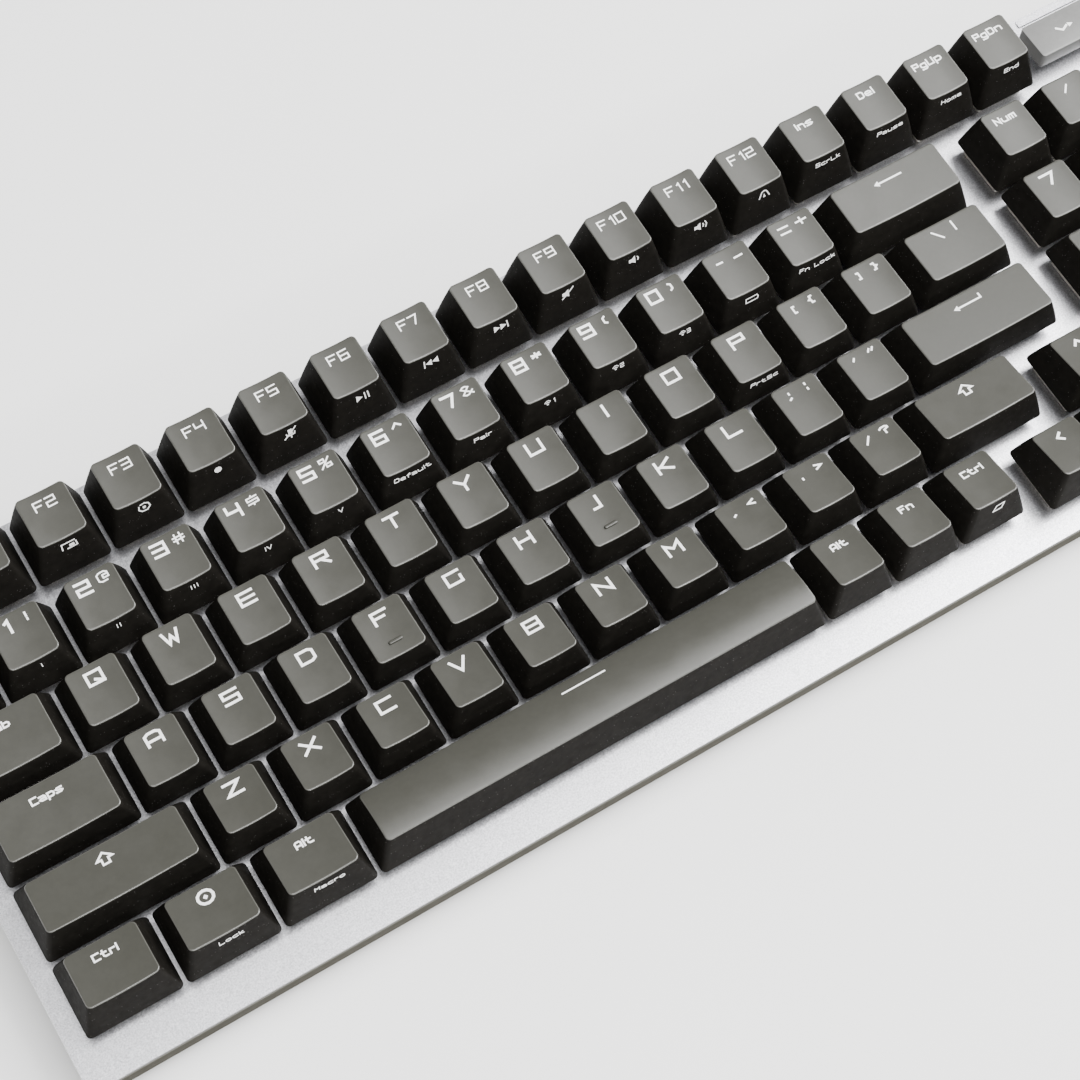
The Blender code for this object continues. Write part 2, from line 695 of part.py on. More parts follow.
def add_bottom_case(material):
    """Tray with a sloping rim, pockets for the two feet and openings in its rear wall."""
    half_x = PLATE_WIDTH / 2 - CASE_INSET
    rim = -PLATE_THICKNESS - CLEARANCE
    outer = case_profile(0.0, CASE_BOTTOM, rim, CASE_CHAMFER)
    case = outline_prism("bottom_case", outer, half_x, material)
    floor = CASE_BOTTOM + CASE_FLOOR
    inner = case_profile(CASE_WALL, floor, PLATE_THICKNESS, (0.0015, 0.0015))
    hollow = outline_prism("case_hollow", inner, half_x - CASE_WALL, None, CUTTERS)
    hollow.display_type = "WIRE"
    hollow.hide_render = True
    add_boolean(case, hollow, "DIFFERENCE")

    blocks = bmesh.new()
    pockets = bmesh.new()
    for side in (-1, 1):
        low, high = foot_pocket(side, POCKET_WALL)
        add_box(blocks, (low.x, low.y, CASE_BOTTOM), high)
        low, high = foot_pocket(side, 0.0)
        add_box(pockets, (low.x, low.y, 0.0), high)
    add_boolean(case, finish_cutter("pocket_blocks", blocks), "UNION")
    add_boolean(case, finish_cutter("foot_pockets", pockets), "DIFFERENCE")

    rear_holes = bmesh.new()
    rear = PLATE_DEPTH / 2
    gap = REAR_HOLE_CLEARANCE
    middle = socket_height()
    half = (SOCKET_OUTER[0] / 2 + gap, SOCKET_OUTER[2] / 2 + gap)
    add_box(rear_holes, (SOCKET_X - half[0], rear - 0.004, middle - half[1]),
            (SOCKET_X + half[0], rear + 0.004, middle + half[1]))
    half = (SWITCH_KNOB[0] / 2 + SWITCH_TRAVEL + gap, SWITCH_KNOB[2] / 2 + gap)
    add_box(rear_holes, (SWITCH_X - half[0], rear - 0.004, middle - half[1]),
            (SWITCH_X + half[0], rear + 0.004, middle + half[1]))
    add_boolean(case, finish_cutter("rear_holes", rear_holes, DECK), "DIFFERENCE")
    return case


def socket_height():
    """Middle of the rear socket and of the mode switch, below the board."""
    return BOARD_BOTTOM - SOCKET_DROP


def add_usb_socket(material):
    """Metal shell, open to the rear, with its contact tongue."""
    middle = socket_height()
    width, length, height = SOCKET_OUTER
    rear = PLATE_DEPTH / 2 - CASE_INSET - 0.0004
    shell = bmesh.new()
    add_box(shell, (SOCKET_X - width / 2, rear - length, middle - height / 2),
            (SOCKET_X + width / 2, rear, middle + height / 2))
    socket = finish_object("usb_c_socket", shell, material, DECK, (SOCKET_X, rear, middle))
    wall = SOCKET_WALL
    mouth = bmesh.new()
    add_box(mouth, (SOCKET_X - width / 2 + wall, rear - length + wall, middle - height / 2 + wall),
            (SOCKET_X + width / 2 - wall, rear + length, middle + height / 2 - wall))
    add_boolean(socket, finish_cutter("socket_mouth", mouth, DECK), "DIFFERENCE")
    tongue_width, tongue_length, tongue_height = SOCKET_TONGUE
    tongue = bmesh.new()
    add_box(tongue, (SOCKET_X - tongue_width / 2, rear - length + wall / 2,
                     middle - tongue_height / 2),
            (SOCKET_X + tongue_width / 2, rear - length + wall + tongue_length,
             middle + tongue_height / 2))
    add_boolean(socket, finish_cutter("socket_tongue", tongue, DECK), "UNION")
    return socket


def add_mode_switch(material):
    """Small sliding knob that picks the connection."""
    middle = socket_height()
    width, length, height = SWITCH_KNOB
    rear = PLATE_DEPTH / 2 - CASE_INSET - 0.0004
    knob = bmesh.new()
    add_box(knob, (SWITCH_X - width / 2, rear - length, middle - height / 2),
            (SWITCH_X + width / 2, rear, middle + height / 2))
    return finish_object("mode_switch", knob, material, DECK, (SWITCH_X, rear, middle))


def add_battery(material):
    width, depth, height = BATTERY_SIZE
    floor = CASE_BOTTOM + CASE_FLOOR + CLEARANCE
    cell = bmesh.new()
    add_box(cell, (-width / 2, BATTERY_CENTRE_Y - depth / 2, floor),
            (width / 2, BATTERY_CENTRE_Y + depth / 2, floor + height))
    return finish_object("battery", cell, material, None, (0, BATTERY_CENTRE_Y, floor))


def add_rubber_feet(material):
    width, depth = RUBBER_SIZE
    for row, y in (("front", RUBBER_FRONT_Y), ("rear", RUBBER_REAR_Y)):
        for side, x in (("left", -RUBBER_X), ("right", RUBBER_X)):
            pad = bmesh.new()
            add_box(pad, (x - width / 2, y - depth / 2, 0.0),
                    (x + width / 2, y + depth / 2, CASE_BOTTOM - CLEARANCE))
            foot = finish_object(f"rubber_foot_{row}_{side}", pad, material, None, (x, y, 0))
            round_upright_edges(foot, 0.0025, 3)


def add_flip_feet(material):
    """Folding feet that lie in the pockets; each turns down about its rear barrel."""
    width, length, thickness = FOOT_SIZE
    axis_z = CASE_BOTTOM + FOOT_BARREL_RADIUS
    for side, sign in (("left", -1), ("right", 1)):
        x = sign * FOOT_X
        leaf = bmesh.new()
        add_box(leaf, (x - width / 2, FOOT_AXIS_Y - length, CASE_BOTTOM),
                (x + width / 2, FOOT_AXIS_Y, CASE_BOTTOM + thickness))
        foot = finish_object(f"flip_foot_{side}", leaf, material, None, (x, FOOT_AXIS_Y, axis_z))
        barrel = bmesh.new()
        place = Matrix.Translation((x, FOOT_AXIS_Y, axis_z)) @ Matrix.Rotation(math.pi / 2, 4, "Y")
        bmesh.ops.create_cone(barrel, cap_ends=True, segments=16, radius1=FOOT_BARREL_RADIUS,
                              radius2=FOOT_BARREL_RADIUS, depth=width - 2 * CLEARANCE,
                              matrix=place)
        add_boolean(foot, finish_cutter(f"foot_barrel_{side}", barrel), "UNION")


def build():
    materials = {name: make_material(name, *values) for name, values in COLORS.items()}
    keys = read_layout()
    banked = {key for members in BANKS.values() for key in members}

    add_bottom_case(materials["case_plastic"])
    add_top_plate(keys, materials["plate_aluminium"])
    add_switch_board(keys, materials["board"])
    add_sound_pad(materials["foam"])
    add_battery(materials["cell_wrap"])
    add_usb_socket(materials["steel"])
    add_mode_switch(materials["key_plastic"])
    add_rubber_feet(materials["rubber"])
    add_flip_feet(materials["case_plastic"])
    add_hub(materials["key_plastic"])
    add_media_button(materials["button_face"])
    add_volume_roller(materials["button_face"])
    add_space_wire(keys["space"], materials["steel"])
    for name, key in keys.items():
        if name not in banked:
            prefix = "key_" if len(name) == 1 else ""
            suffix = "" if len(name) == 1 else "_key"
            add_key_node(prefix + name + suffix, [key], materials["key_plastic"])
    for name, members in BANKS.items():
        add_key_node(name, [keys[member] for member in members], materials["key_plastic"])


build()
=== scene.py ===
"""Looks of the wireless mechanical keyboard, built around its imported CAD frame.

Deck frame: X to the typist's right, Y away from the typist and Z out of the aluminium plate, with
the plate's upper face at Z = 0. It is tilted like the CAD keys' travel. Metres throughout.
"""

import json
import math

import bmesh
import bpy
from mathutils import Matrix, Vector

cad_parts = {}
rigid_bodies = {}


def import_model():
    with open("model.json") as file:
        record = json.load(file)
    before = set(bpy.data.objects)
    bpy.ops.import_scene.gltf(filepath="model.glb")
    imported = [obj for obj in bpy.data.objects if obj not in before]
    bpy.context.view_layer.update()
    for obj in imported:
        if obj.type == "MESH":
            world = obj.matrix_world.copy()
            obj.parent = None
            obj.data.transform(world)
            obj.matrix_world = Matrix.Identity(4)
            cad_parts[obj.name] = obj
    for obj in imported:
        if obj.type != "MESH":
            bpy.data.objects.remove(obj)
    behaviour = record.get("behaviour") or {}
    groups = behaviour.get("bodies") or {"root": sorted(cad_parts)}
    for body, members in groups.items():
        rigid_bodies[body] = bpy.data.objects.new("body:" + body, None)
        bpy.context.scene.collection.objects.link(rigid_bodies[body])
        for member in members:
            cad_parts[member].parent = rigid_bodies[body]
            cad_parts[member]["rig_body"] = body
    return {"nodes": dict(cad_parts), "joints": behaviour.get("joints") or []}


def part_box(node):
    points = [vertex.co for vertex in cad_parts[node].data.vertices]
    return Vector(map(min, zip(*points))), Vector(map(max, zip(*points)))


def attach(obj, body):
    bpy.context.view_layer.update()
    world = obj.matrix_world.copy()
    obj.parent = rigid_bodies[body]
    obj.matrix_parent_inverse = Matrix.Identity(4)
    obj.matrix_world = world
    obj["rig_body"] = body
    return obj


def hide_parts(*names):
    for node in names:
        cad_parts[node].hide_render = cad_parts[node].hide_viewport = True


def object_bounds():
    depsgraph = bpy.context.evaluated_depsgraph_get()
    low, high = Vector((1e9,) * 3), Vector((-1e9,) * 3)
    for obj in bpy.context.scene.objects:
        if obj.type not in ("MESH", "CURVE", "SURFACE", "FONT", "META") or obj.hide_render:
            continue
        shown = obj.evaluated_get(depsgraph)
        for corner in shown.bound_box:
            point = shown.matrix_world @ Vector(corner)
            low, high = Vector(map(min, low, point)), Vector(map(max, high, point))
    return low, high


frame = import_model()
CAD_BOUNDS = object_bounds()

# Key grid, as in the CAD
UNIT = 0.01905
CAP_SPACING = 0.00095
FUNCTION_ROW_GAP = 0.0035
FUNCTION_ROW_SHIFT = -0.0006
BLOCK_UNITS = 19.418
ARROW_GAP = 0.25
NUMPAD_GAP = 0.418
ARROW_DROP = 0.0032
ROW_COUNT = 6
PLATE_FRONT_BORDER = 0.0090
RIM_HEIGHT = 0.0043
CAP_TAPER = 0.00298
ROW_PROFILES = [
    (-0.0058, 0.0072, 0.0123, 0.0129),
    (-0.0061, 0.0069, 0.0106, 0.0109),
    (-0.0071, 0.0068, 0.0091, 0.0088),
    (-0.0073, 0.0066, 0.0095, 0.0085),
    (-0.0065, 0.0065, 0.0108, 0.0084),
    (-0.0062, 0.0070, 0.0112, 0.0083),
]

# Housings, board and stabilisers, as in the CAD
CASE = "case_body"
CLEARANCE = 0.0003
BOARD_TOP = -0.0050
BOARD_THICKNESS = 0.0016
BOARD_MARGIN = 0.0030
PAD_THICKNESS = 0.0012
HOUSING_BODY_HALF = 0.0067
HOUSING_FLANGE_HALF = 0.0072
HOUSING_TOP_HALF = 0.0048
HOUSING_TOP = 0.0066
HOUSING_BORE_HALF = 0.0032
PLATE_HOLE_HALF = 0.0070
PLATE_CORNER_RADIUS = 0.0030
PLATE_EDGE_BREAK = 0.00015
STABILISER_HALF = (0.0027, 0.0042)
STABILISER_TOP = 0.0030
STABILISER_BORE_HALF = 0.0019
STABILISER_HOLE_HALF = (0.0048, 0.0056)
WIRE_RADIUS = 0.00075
WIRE_AXIS_OFFSET = -0.0086
WIRE_AXIS_HEIGHT = -0.0039
WIRE_LEG_OFFSET = 0.0536
WIRE_LEG_LENGTH = 0.00825
WIRE_LEG_ANGLE = math.radians(29.0)

# Media hub, as in the CAD
HUB_LEFT = 0.3251
HUB_FRONT = 0.0995
HUB_REAR = 0.1174
HUB_HEIGHT = 0.0080
HUB_SIDE_LEAN = 0.0014
HUB_FRONT_LEAN = 0.0025
HUB_REAR_LEAN = 0.0009
BUTTON_WIDTH = 0.0215
BUTTON_RIM = 0.0008
BUTTON_REAR_RIM = 0.0033
BUTTON_DEPTH = 0.0042
BUTTON_PROUD = 0.0004
BUTTON_TRAVEL = 0.0010
ROLLER_RADIUS = 0.0070
ROLLER_WIDTH = 0.0090
ROLLER_HEIGHT = 0.0040
ROLLER_RIBS = 24
ROLLER_RIB_DEPTH = 0.00045
ROLLER_RIGHT_MARGIN = 0.0034
ROLLER_MIDDLE = 0.1080
SLOT_CLEARANCE = 0.0006
HUB_TRIM_GAP = 0.0003
HUB_TRIM_DEPTH = 0.0006

# Case, feet and rear wall, as in the CAD, and what is moulded into the underside
CASE_INSET = 0.0004
CASE_BOTTOM = 0.0020
CASE_WALL = 0.0018
CASE_FLOOR = 0.0015
CASE_CHAMFER = (0.0025, 0.0030)
BATTERY_SIZE = (0.0900, 0.0400, 0.0052)
BATTERY_CENTRE_Y = 0.0330
RUBBER_SIZE = (0.0400, 0.0070)
RUBBER_X = 0.1500
RUBBER_FRONT_Y = -0.0570
RUBBER_REAR_Y = 0.0575
FOOT_X = 0.1500
FOOT_SIZE = (0.0240, 0.0170, 0.0042)
FOOT_AXIS_Y = 0.0500
FOOT_BARREL_RADIUS = 0.0021
SOCKET_X = -0.0450
SOCKET_OUTER = (0.00900, 0.0072, 0.0032)
SOCKET_WALL = 0.00045
SOCKET_TONGUE = (0.0066, 0.0045, 0.0006)
SOCKET_DROP = 0.0022
SWITCH_X = 0.0050
SWITCH_KNOB = (0.0034, 0.0040, 0.0020)
SWITCH_TRAVEL = 0.0025
SCREW_COLUMNS = (-0.1780, -0.0600, 0.0600, 0.1780)
SCREW_ROWS = (-0.0400, 0.0250)
SCREW_RECESS = 0.0010
SCREW_CROSS_HALF = (0.0013, 0.00028)
LABEL_Y = -0.0050
POCKET_DEPTH = 0.0030

# Finish of a cap
BASE_CORNER = 0.0012
TOP_CORNER = 0.0012
EDGE_ROUND = 0.00026
SIDE_BULGE = 0.00012
DISH_DEPTH = 0.0005
SPACE_CROWN = 0.0011
CAP_WALL = 0.0012
CAP_ROOF = 0.0014
POST_RADIUS = 0.0027
POST_TIP = 0.0046
STABILISER_OFFSET = 0.0119
SPACE_STABILISER_OFFSET = 0.0500
STABILISER_POST_RADIUS = 0.0014
STABILISER_POST_TIP = 0.0015
ARC_STEPS = 3
TARGET_SEGMENT = 0.0014

# Legends
LEGEND_STROKE = 0.00064
SIGN_STROKE = 0.00046
WORD_STROKE = 0.0004
FINE_STROKE = 0.00036
FRONT_STROKE = 0.00018
LEGEND_PROUD = 0.00003
LEGEND_SUNK = 0.00006
LEGEND_STEP = 0.0008

# Camera, in the deck's frame from the key block's front left corner at the caps' rims
CAMERA_PLACE = (0.0103, -0.1292, 0.4880)
CAMERA_AZIMUTH = 36.27          # degrees from +Y towards +X
CAMERA_DIVE = 65.26             # degrees below the deck's plane
CAMERA_ROLL = 5.56
CAMERA_LENS = 76.45

LAYOUT = [
    [("escape", 1)] + [(f"f{number}", 1) for number in range(1, 13)]
    + [("insert", 1), ("delete", 1), ("page_up", 1), ("page_down", 1)],
    [("grave", 1)] + [(digit, 1) for digit in "1234567890"]
    + [("minus", 1), ("equal", 1), ("backspace", 2), NUMPAD_GAP]
    + [("num_lock", 1), ("divide", 1), ("multiply", 1), ("subtract", 1)],
    [("tab", 1.5)] + [(letter, 1) for letter in "qwertyuiop"]
    + [("left_bracket", 1), ("right_bracket", 1), ("backslash", 1.5), NUMPAD_GAP]
    + [("pad_7", 1), ("pad_8", 1), ("pad_9", 1), ("numpad_plus", 1)],
    [("caps_lock", 1.75)] + [(letter, 1) for letter in "asdfghjkl"]
    + [("semicolon", 1), ("quote", 1), ("enter", 2.25), NUMPAD_GAP]
    + [("pad_4", 1), ("pad_5", 1), ("pad_6", 1)],
    [("left_shift", 2.25)] + [(letter, 1) for letter in "zxcvbnm"]
    + [("comma", 1), ("period", 1), ("slash", 1), ("right_shift", 1.75), ARROW_GAP]
    + [("up", 1), NUMPAD_GAP - ARROW_GAP, ("pad_1", 1), ("pad_2", 1), ("pad_3", 1), ("numpad_enter", 1)],
    [("left_control", 1.25), ("system", 1.25), ("left_alt", 1.25), ("space", 6.25)]
    + [("right_alt", 1), ("function", 1), ("right_control", 1), ARROW_GAP]
    + [("left", 1), ("down", 1), ("right", 1), NUMPAD_GAP - ARROW_GAP, ("pad_0", 1)]
    + [("pad_point", 1)],
]
ARROW_KEYS = ("up", "left", "down", "right")
TALL_KEYS = ("numpad_plus", "numpad_enter")
STABILISED = ("backspace", "enter", "left_shift", "space") + TALL_KEYS

# Stroke font on a grid 4 wide and 6 high: strokes are split by commas, points are "xy" digits,
# and a leading ~ drops the glyph by 2 for a descender.
GLYPHS = {
    "A": "00 05 16 36 45 40, 02 42", "B": "00 06 46 40 00, 03 43", "C": "46 06 00 40",
    "D": "00 06 36 45 41 30 00", "E": "46 06 00 40, 03 43", "F": "46 06 00, 03 33",
    "G": "46 06 00 40 43", "H": "00 06, 40 46, 03 43", "I": "10 16", "J": "26 20 00",
    "K": "00 06, 46 13 40, 03 13", "L": "06 00 40", "M": "00 06 23 46 40", "N": "00 06 40 46",
    "O": "00 06 46 40 00", "P": "00 06 46 43 03", "Q": "00 06 46 40 00, 22 40",
    "R": "00 06 46 43 03, 23 40", "S": "46 06 03 43 40 00", "T": "06 46, 26 20",
    "U": "06 00 40 46", "V": "06 20 46", "W": "06 10 24 30 46",
    "X": "00 46, 06 40", "Y": "06 23 46, 23 20", "Z": "06 46 00 40",
    "0": "00 06 46 40 00", "1": "15 26 20", "2": "06 46 43 03 00 40",
    "3": "06 46 40 00, 03 43", "4": "06 03 43, 46 40", "5": "46 06 03 43 40 00",
    "6": "46 06 00 40 43 03", "7": "06 46 20", "8": "00 06 46 40 00, 03 43",
    "9": "00 40 46 06 03 43", "a": "04 34 43 40 10 01 12 42", "b": "06 00 30 41 43 34 04",
    "c": "44 14 03 01 10 40", "d": "46 40 10 01 03 14 44", "e": "02 42 43 34 14 03 01 10 40",
    "f": "36 26 15 10, 04 34", "g": "~46 16 05 03 12 42, 46 41 30 00", "h": "06 00, 04 34 43 40",
    "i": "00 03, 05 06", "k": "00 06, 34 02 30", "l": "06 00", "m": "00 04 44 40, 24 20",
    "n": "00 04 34 43 40", "o": "10 01 03 14 34 43 41 30 10", "p": "~00 06 36 45 43 32 02",
    "r": "00 04 34", "s": "44 14 03 12 32 41 30 00", "t": "16 11 20 40, 04 34",
    "u": "04 01 10 40 44", "`": "06 14", "~": "02 14 32 44", "!": "06 03, 01 00",
    "@": "30 10 01 05 16 36 45 42 22 24 44", "#": "10 16, 30 36, 02 42, 04 44",
    "$": "45 05 03 43 41 01, 26 25, 21 20", "%": "04 06 26 24 04, 00 46, 20 22 42 40 20",
    "^": "03 26 43", "&": "40 05 16 26 35 01 10 20 42", "*": "21 25, 02 44, 04 42",
    "(": "26 15 11 20", ")": "06 15 11 00", "-": "03 33", "_": "00 40", "=": "01 41, 05 45",
    "+": "03 43, 21 25", "[": "16 06 00 10", "]": "06 16 10 00", "{": "26 16 14 03 12 10 20",
    "}": "06 16 14 23 12 10 00", "\\": "06 30", "|": "00 06", ";": "16 15, 11 00",
    ":": "06 05, 01 00", "'": "16 04", '"': "16 04, 36 24", ",": "11 00", "<": "35 03 31",
    ".": "00 01", ">": "05 33 01", "/": "00 36", "?": "05 16 36 45 44 23 22, 21 20",
    " ": "",
}

# What is printed on each key's top: [(text, place, size)], with places named below.
TOP_PLACES = {
    "middle": (-0.00015, 0.00345), "left": (-0.00235, 0.00305), "right": (0.00275, 0.00255),
    "word": (0.0, 0.0034), "upper word": (-0.0003, 0.0031),
    "shift": (-0.00033, 0.0034), "line": (0.0, 0.0028),
}
TOP_SIZES = {"letter": (0.0036, 0.0030), "digit": (0.0031, 0.0030), "small": (0.0020, 0.0018),
             "word": (0.00138, 0.00155), "upper word": (0.00156, 0.0017),
             "function": (0.0021, 0.0023), "slash": (0.0027, 0.0025), "crowded": (0.0025, 0.0023)}
CROWDED_SIGNS = "@#$%&"
SHIFTED = dict(zip("1234567890", "!@#$%^&*()"))
PAIRS = {
    "grave": "`~", "minus": "-_", "equal": "=+", "left_bracket": "[{", "right_bracket": "]}",
    "backslash": "\\|", "semicolon": ";:", "quote": "'\"", "comma": ",<", "period": ".>",
    "slash": "/?",
}
WORDS = {
    "escape": "Esc", "insert": "Ins", "delete": "Del", "page_up": "PgUp", "page_down": "PgDn",
    "tab": "Tab", "caps_lock": "Caps", "left_control": "Ctrl", "left_alt": "Alt",
    "right_alt": "Alt", "function": "Fn", "right_control": "Ctrl", "num_lock": "Num",
    "numpad_enter": "Enter",
}
PAD_SIGNS = {"divide": "/", "multiply": "*", "subtract": "-", "numpad_plus": "+",
             "pad_point": "."}
FRONT_WORDS = {
    "insert": "ScrLk", "delete": "Pause", "page_up": "Home", "page_down": "End",
    "1": "I", "2": "II", "3": "III", "4": "IV", "5": "V", "6": "Default", "7": "Pair",
    "equal": "Fn Lock", "p": "PrtSc", "system": "Lock", "left_alt": "Macro",
}

# Icons: closed or open strokes and filled polygons in millimetres around their middle.
ARROW_HEAD = [(-4.2, 0.0), (-2.8, -0.8), (-2.8, 0.8)]
ARROW_LEFT = {"strokes": [[(-2.9, 0.0), (3.8, 0.0)]], "fills": [ARROW_HEAD]}
ARROW_ENTER = {"strokes": [[(-2.9, 0.0), (3.8, 0.0), (3.8, 1.1)]], "fills": [ARROW_HEAD]}
ARROW_SHIFT = {"strokes": [[(-0.8, -1.4), (-0.8, -0.1), (-1.9, -0.1), (0.0, 1.45), (1.9, -0.1),
                            (0.8, -0.1), (0.8, -1.4), (-0.8, -1.4)]]}
SYSTEM_MARK = {"strokes": [[(1.8 * math.cos(math.radians(angle)), 1.6 * math.sin(math.radians(angle)))
                            for angle in (*range(0, 360, 30), 0)]],
               "fills": [[(-0.6, 0.0), (0.0, -0.6), (0.6, 0.0), (0.0, 0.6)]]}
ICONS_TOP = {"backspace": ARROW_LEFT, "enter": ARROW_ENTER, "left_shift": ARROW_SHIFT,
             "right_shift": ARROW_SHIFT, "system": SYSTEM_MARK}
CURSOR_TURNS = {"up": 0.0, "left": 90.0, "down": 180.0, "right": 270.0}
CURSOR_ARROW = {"strokes": [[(-1.0, -0.4), (0.0, 0.8), (1.0, -0.4)]]}

SPEAKER = [[(-0.9, -0.3), (-0.45, -0.3), (0.1, -0.75), (0.1, 0.75), (-0.45, 0.3), (-0.9, 0.3)]]
TRIANGLE = [[(-0.8, -0.6), (0.1, 0.0), (-0.8, 0.6)]]
ICONS_FRONT = {
    "f2": {"strokes": [[(-1.0, -0.5), (-1.0, 0.6), (0.9, 0.6)], [(1.0, 0.2), (1.0, -0.6), (-0.3, -0.6)]],
           "fills": [[(0.0, -0.4), (0.7, -0.4), (0.7, 0.1), (0.0, 0.1)]]},
    "f3": {"strokes": [[(-0.7, 0.4), (-0.8, -0.2), (-0.4, -0.7), (0.3, -0.75), (0.8, -0.2),
                        (0.7, 0.45), (0.2, 0.8), (-0.4, 0.7)]],
           "fills": [[(-0.2, -0.2), (0.2, -0.2), (0.2, 0.2), (-0.2, 0.2)]]},
    "f4": {"fills": [[(-0.5, -0.2), (-0.2, -0.5), (0.2, -0.5), (0.5, -0.2), (0.5, 0.2), (0.2, 0.5),
                      (-0.2, 0.5), (-0.5, 0.2)]]},
    "f5": {"strokes": [[(-0.6, 0.0), (-0.5, -0.4), (0.5, -0.4), (0.6, 0.0)], [(0.0, -0.4), (0.0, -0.9)],
                       [(-0.9, -0.8), (0.9, 0.9)]],
           "fills": [[(-0.3, -0.2), (0.3, -0.2), (0.3, 0.8), (-0.3, 0.8)]]},
    "f6": {"strokes": [[(0.5, -0.6), (0.5, 0.6)], [(1.0, -0.6), (1.0, 0.6)]], "fills": TRIANGLE},
    "f7": {"strokes": [[(-1.1, -0.6), (-1.1, 0.6)]],
           "fills": [[(-0.9, 0.0), (0.0, -0.6), (0.0, 0.6)], [(0.1, 0.0), (1.0, -0.6), (1.0, 0.6)]]},
    "f8": {"strokes": [[(1.1, -0.6), (1.1, 0.6)]],
           "fills": [[(-1.0, -0.6), (-0.1, 0.0), (-1.0, 0.6)], [(0.0, -0.6), (0.9, 0.0), (0.0, 0.6)]]},
    "f9": {"strokes": [[(-0.9, -0.8), (0.9, 0.8)]], "fills": SPEAKER},
    "f10": {"strokes": [[(0.5, -0.3), (0.6, 0.0), (0.5, 0.3)]], "fills": SPEAKER},
    "f11": {"strokes": [[(0.5, -0.3), (0.6, 0.0), (0.5, 0.3)], [(0.9, -0.6), (1.1, 0.0), (0.9, 0.6)]],
            "fills": SPEAKER},
    "f12": {"strokes": [[(-0.8, -0.6), (-0.4, 0.5), (0.0, 0.7), (0.4, 0.5), (0.8, -0.6)]],
            "fills": [[(-0.2, -0.6), (0.2, -0.6), (0.0, 0.1)]]},
    "minus": {"strokes": [[(-1.2, -0.5), (1.0, -0.5), (1.2, 0.0), (1.0, 0.5), (-1.2, 0.5),
                           (-1.2, -0.5)]]},
    "right_control": {"strokes": [[(-1.1, -0.6), (0.5, -0.6), (1.1, 0.6), (-0.5, 0.6), (-1.1, -0.6)]]},
}
WIRELESS = {"strokes": [[(-0.7, 0.3), (-0.25, 0.75), (0.25, 0.75), (0.7, 0.3)],
                        [(-0.35, 0.0), (0.0, 0.3), (0.35, 0.0)]],
            "fills": [[(-0.2, -0.6), (0.2, -0.6), (0.2, -0.25), (-0.2, -0.25)]]}
WIRELESS_KEYS = {"8": "1", "9": "2", "0": "3"}
HUB_MARK = {"strokes": [[(-2.6, 0.6), (-1.2, -0.6), (0.4, 0.2)]],
            "fills": [[(0.9, -0.6), (2.4, 0.1), (0.9, 0.8)]]}


# --- the deck's frame, from the CAD -----------------------------------------------------------

def joint(name):
    return next(item for item in frame["joints"] if item["name"] == name)


def find_deck():
    """Deck-to-world matrix and the plate's depth and thickness, from the plate's box."""
    press = Vector(joint("space_key_press")["axis"])
    tilt = math.atan2(press.y, -press.z)
    low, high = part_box("top_plate")
    cos = math.cos(tilt)
    sin = math.sin(tilt)
    run = high.y - low.y
    rise = high.z - low.z
    depth = (run * cos - rise * sin) / (cos * cos - sin * sin)
    thickness = (rise * cos - run * sin) / (cos * cos - sin * sin)
    origin = Vector(((low.x + high.x) / 2, low.y + depth / 2 * cos, high.z - depth / 2 * sin))
    matrix = Matrix.Translation(origin) @ Matrix.Rotation(tilt, 4, "X")
    return matrix, high.x - low.x, depth, thickness


DECK, PLATE_WIDTH, PLATE_DEPTH, PLATE_THICKNESS = find_deck()
TO_DECK = DECK.inverted()
BLOCK_LEFT = -BLOCK_UNITS * UNIT / 2
BLOCK_FRONT = PLATE_FRONT_BORDER - PLATE_DEPTH / 2


def corner_index():
    """Node of every CAD vertex, by its place in the deck's frame to a tenth of a millimetre."""
    found = {}
    for name, node in frame["nodes"].items():
        if node["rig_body"] == "case_body":
            continue
        for vert in node.data.vertices:
            place = TO_DECK @ vert.co
            found[tuple(round(value * 1e4) for value in place)] = name
    return found


def node_near(index, point):
    """The node with a vertex at a point of the deck's frame."""
    cell = [round(value * 1e4) for value in point]
    for dx in (0, -1, 1):
        for dy in (0, -1, 1):
            for dz in (0, -1, 1):
                name = index.get((cell[0] + dx, cell[1] + dy, cell[2] + dz))
                if name:
                    return name
    raise ValueError(f"no CAD vertex at {point}")


# --- mesh helpers -----------------------------------------------------------------------------

def lerp(first, second, share):
    return first + (second - first) * share


def make_object(name, mesh, materials, place=DECK, smooth=35.0):
    """Object from a bmesh given in the frame of place; its points are stored in world space."""
    bmesh.ops.recalc_face_normals(mesh, faces=mesh.faces)
    data = bpy.data.meshes.new(name)
    mesh.to_mesh(data)
    mesh.free()
    data.transform(place)
    for material in materials:
        data.materials.append(material)
    data.shade_smooth()
    data.set_sharp_from_angle(angle=math.radians(smooth))
    item = bpy.data.objects.new(name, data)
    bpy.context.scene.collection.objects.link(item)
    return item


def outline_counts(half_x, half_y, radius):
    """Straight segments along the front and along the side of a rounded rectangle."""
    return (max(2, round(2 * (half_x - radius) / TARGET_SEGMENT)),
            max(2, round(2 * (half_y - radius) / TARGET_SEGMENT)))


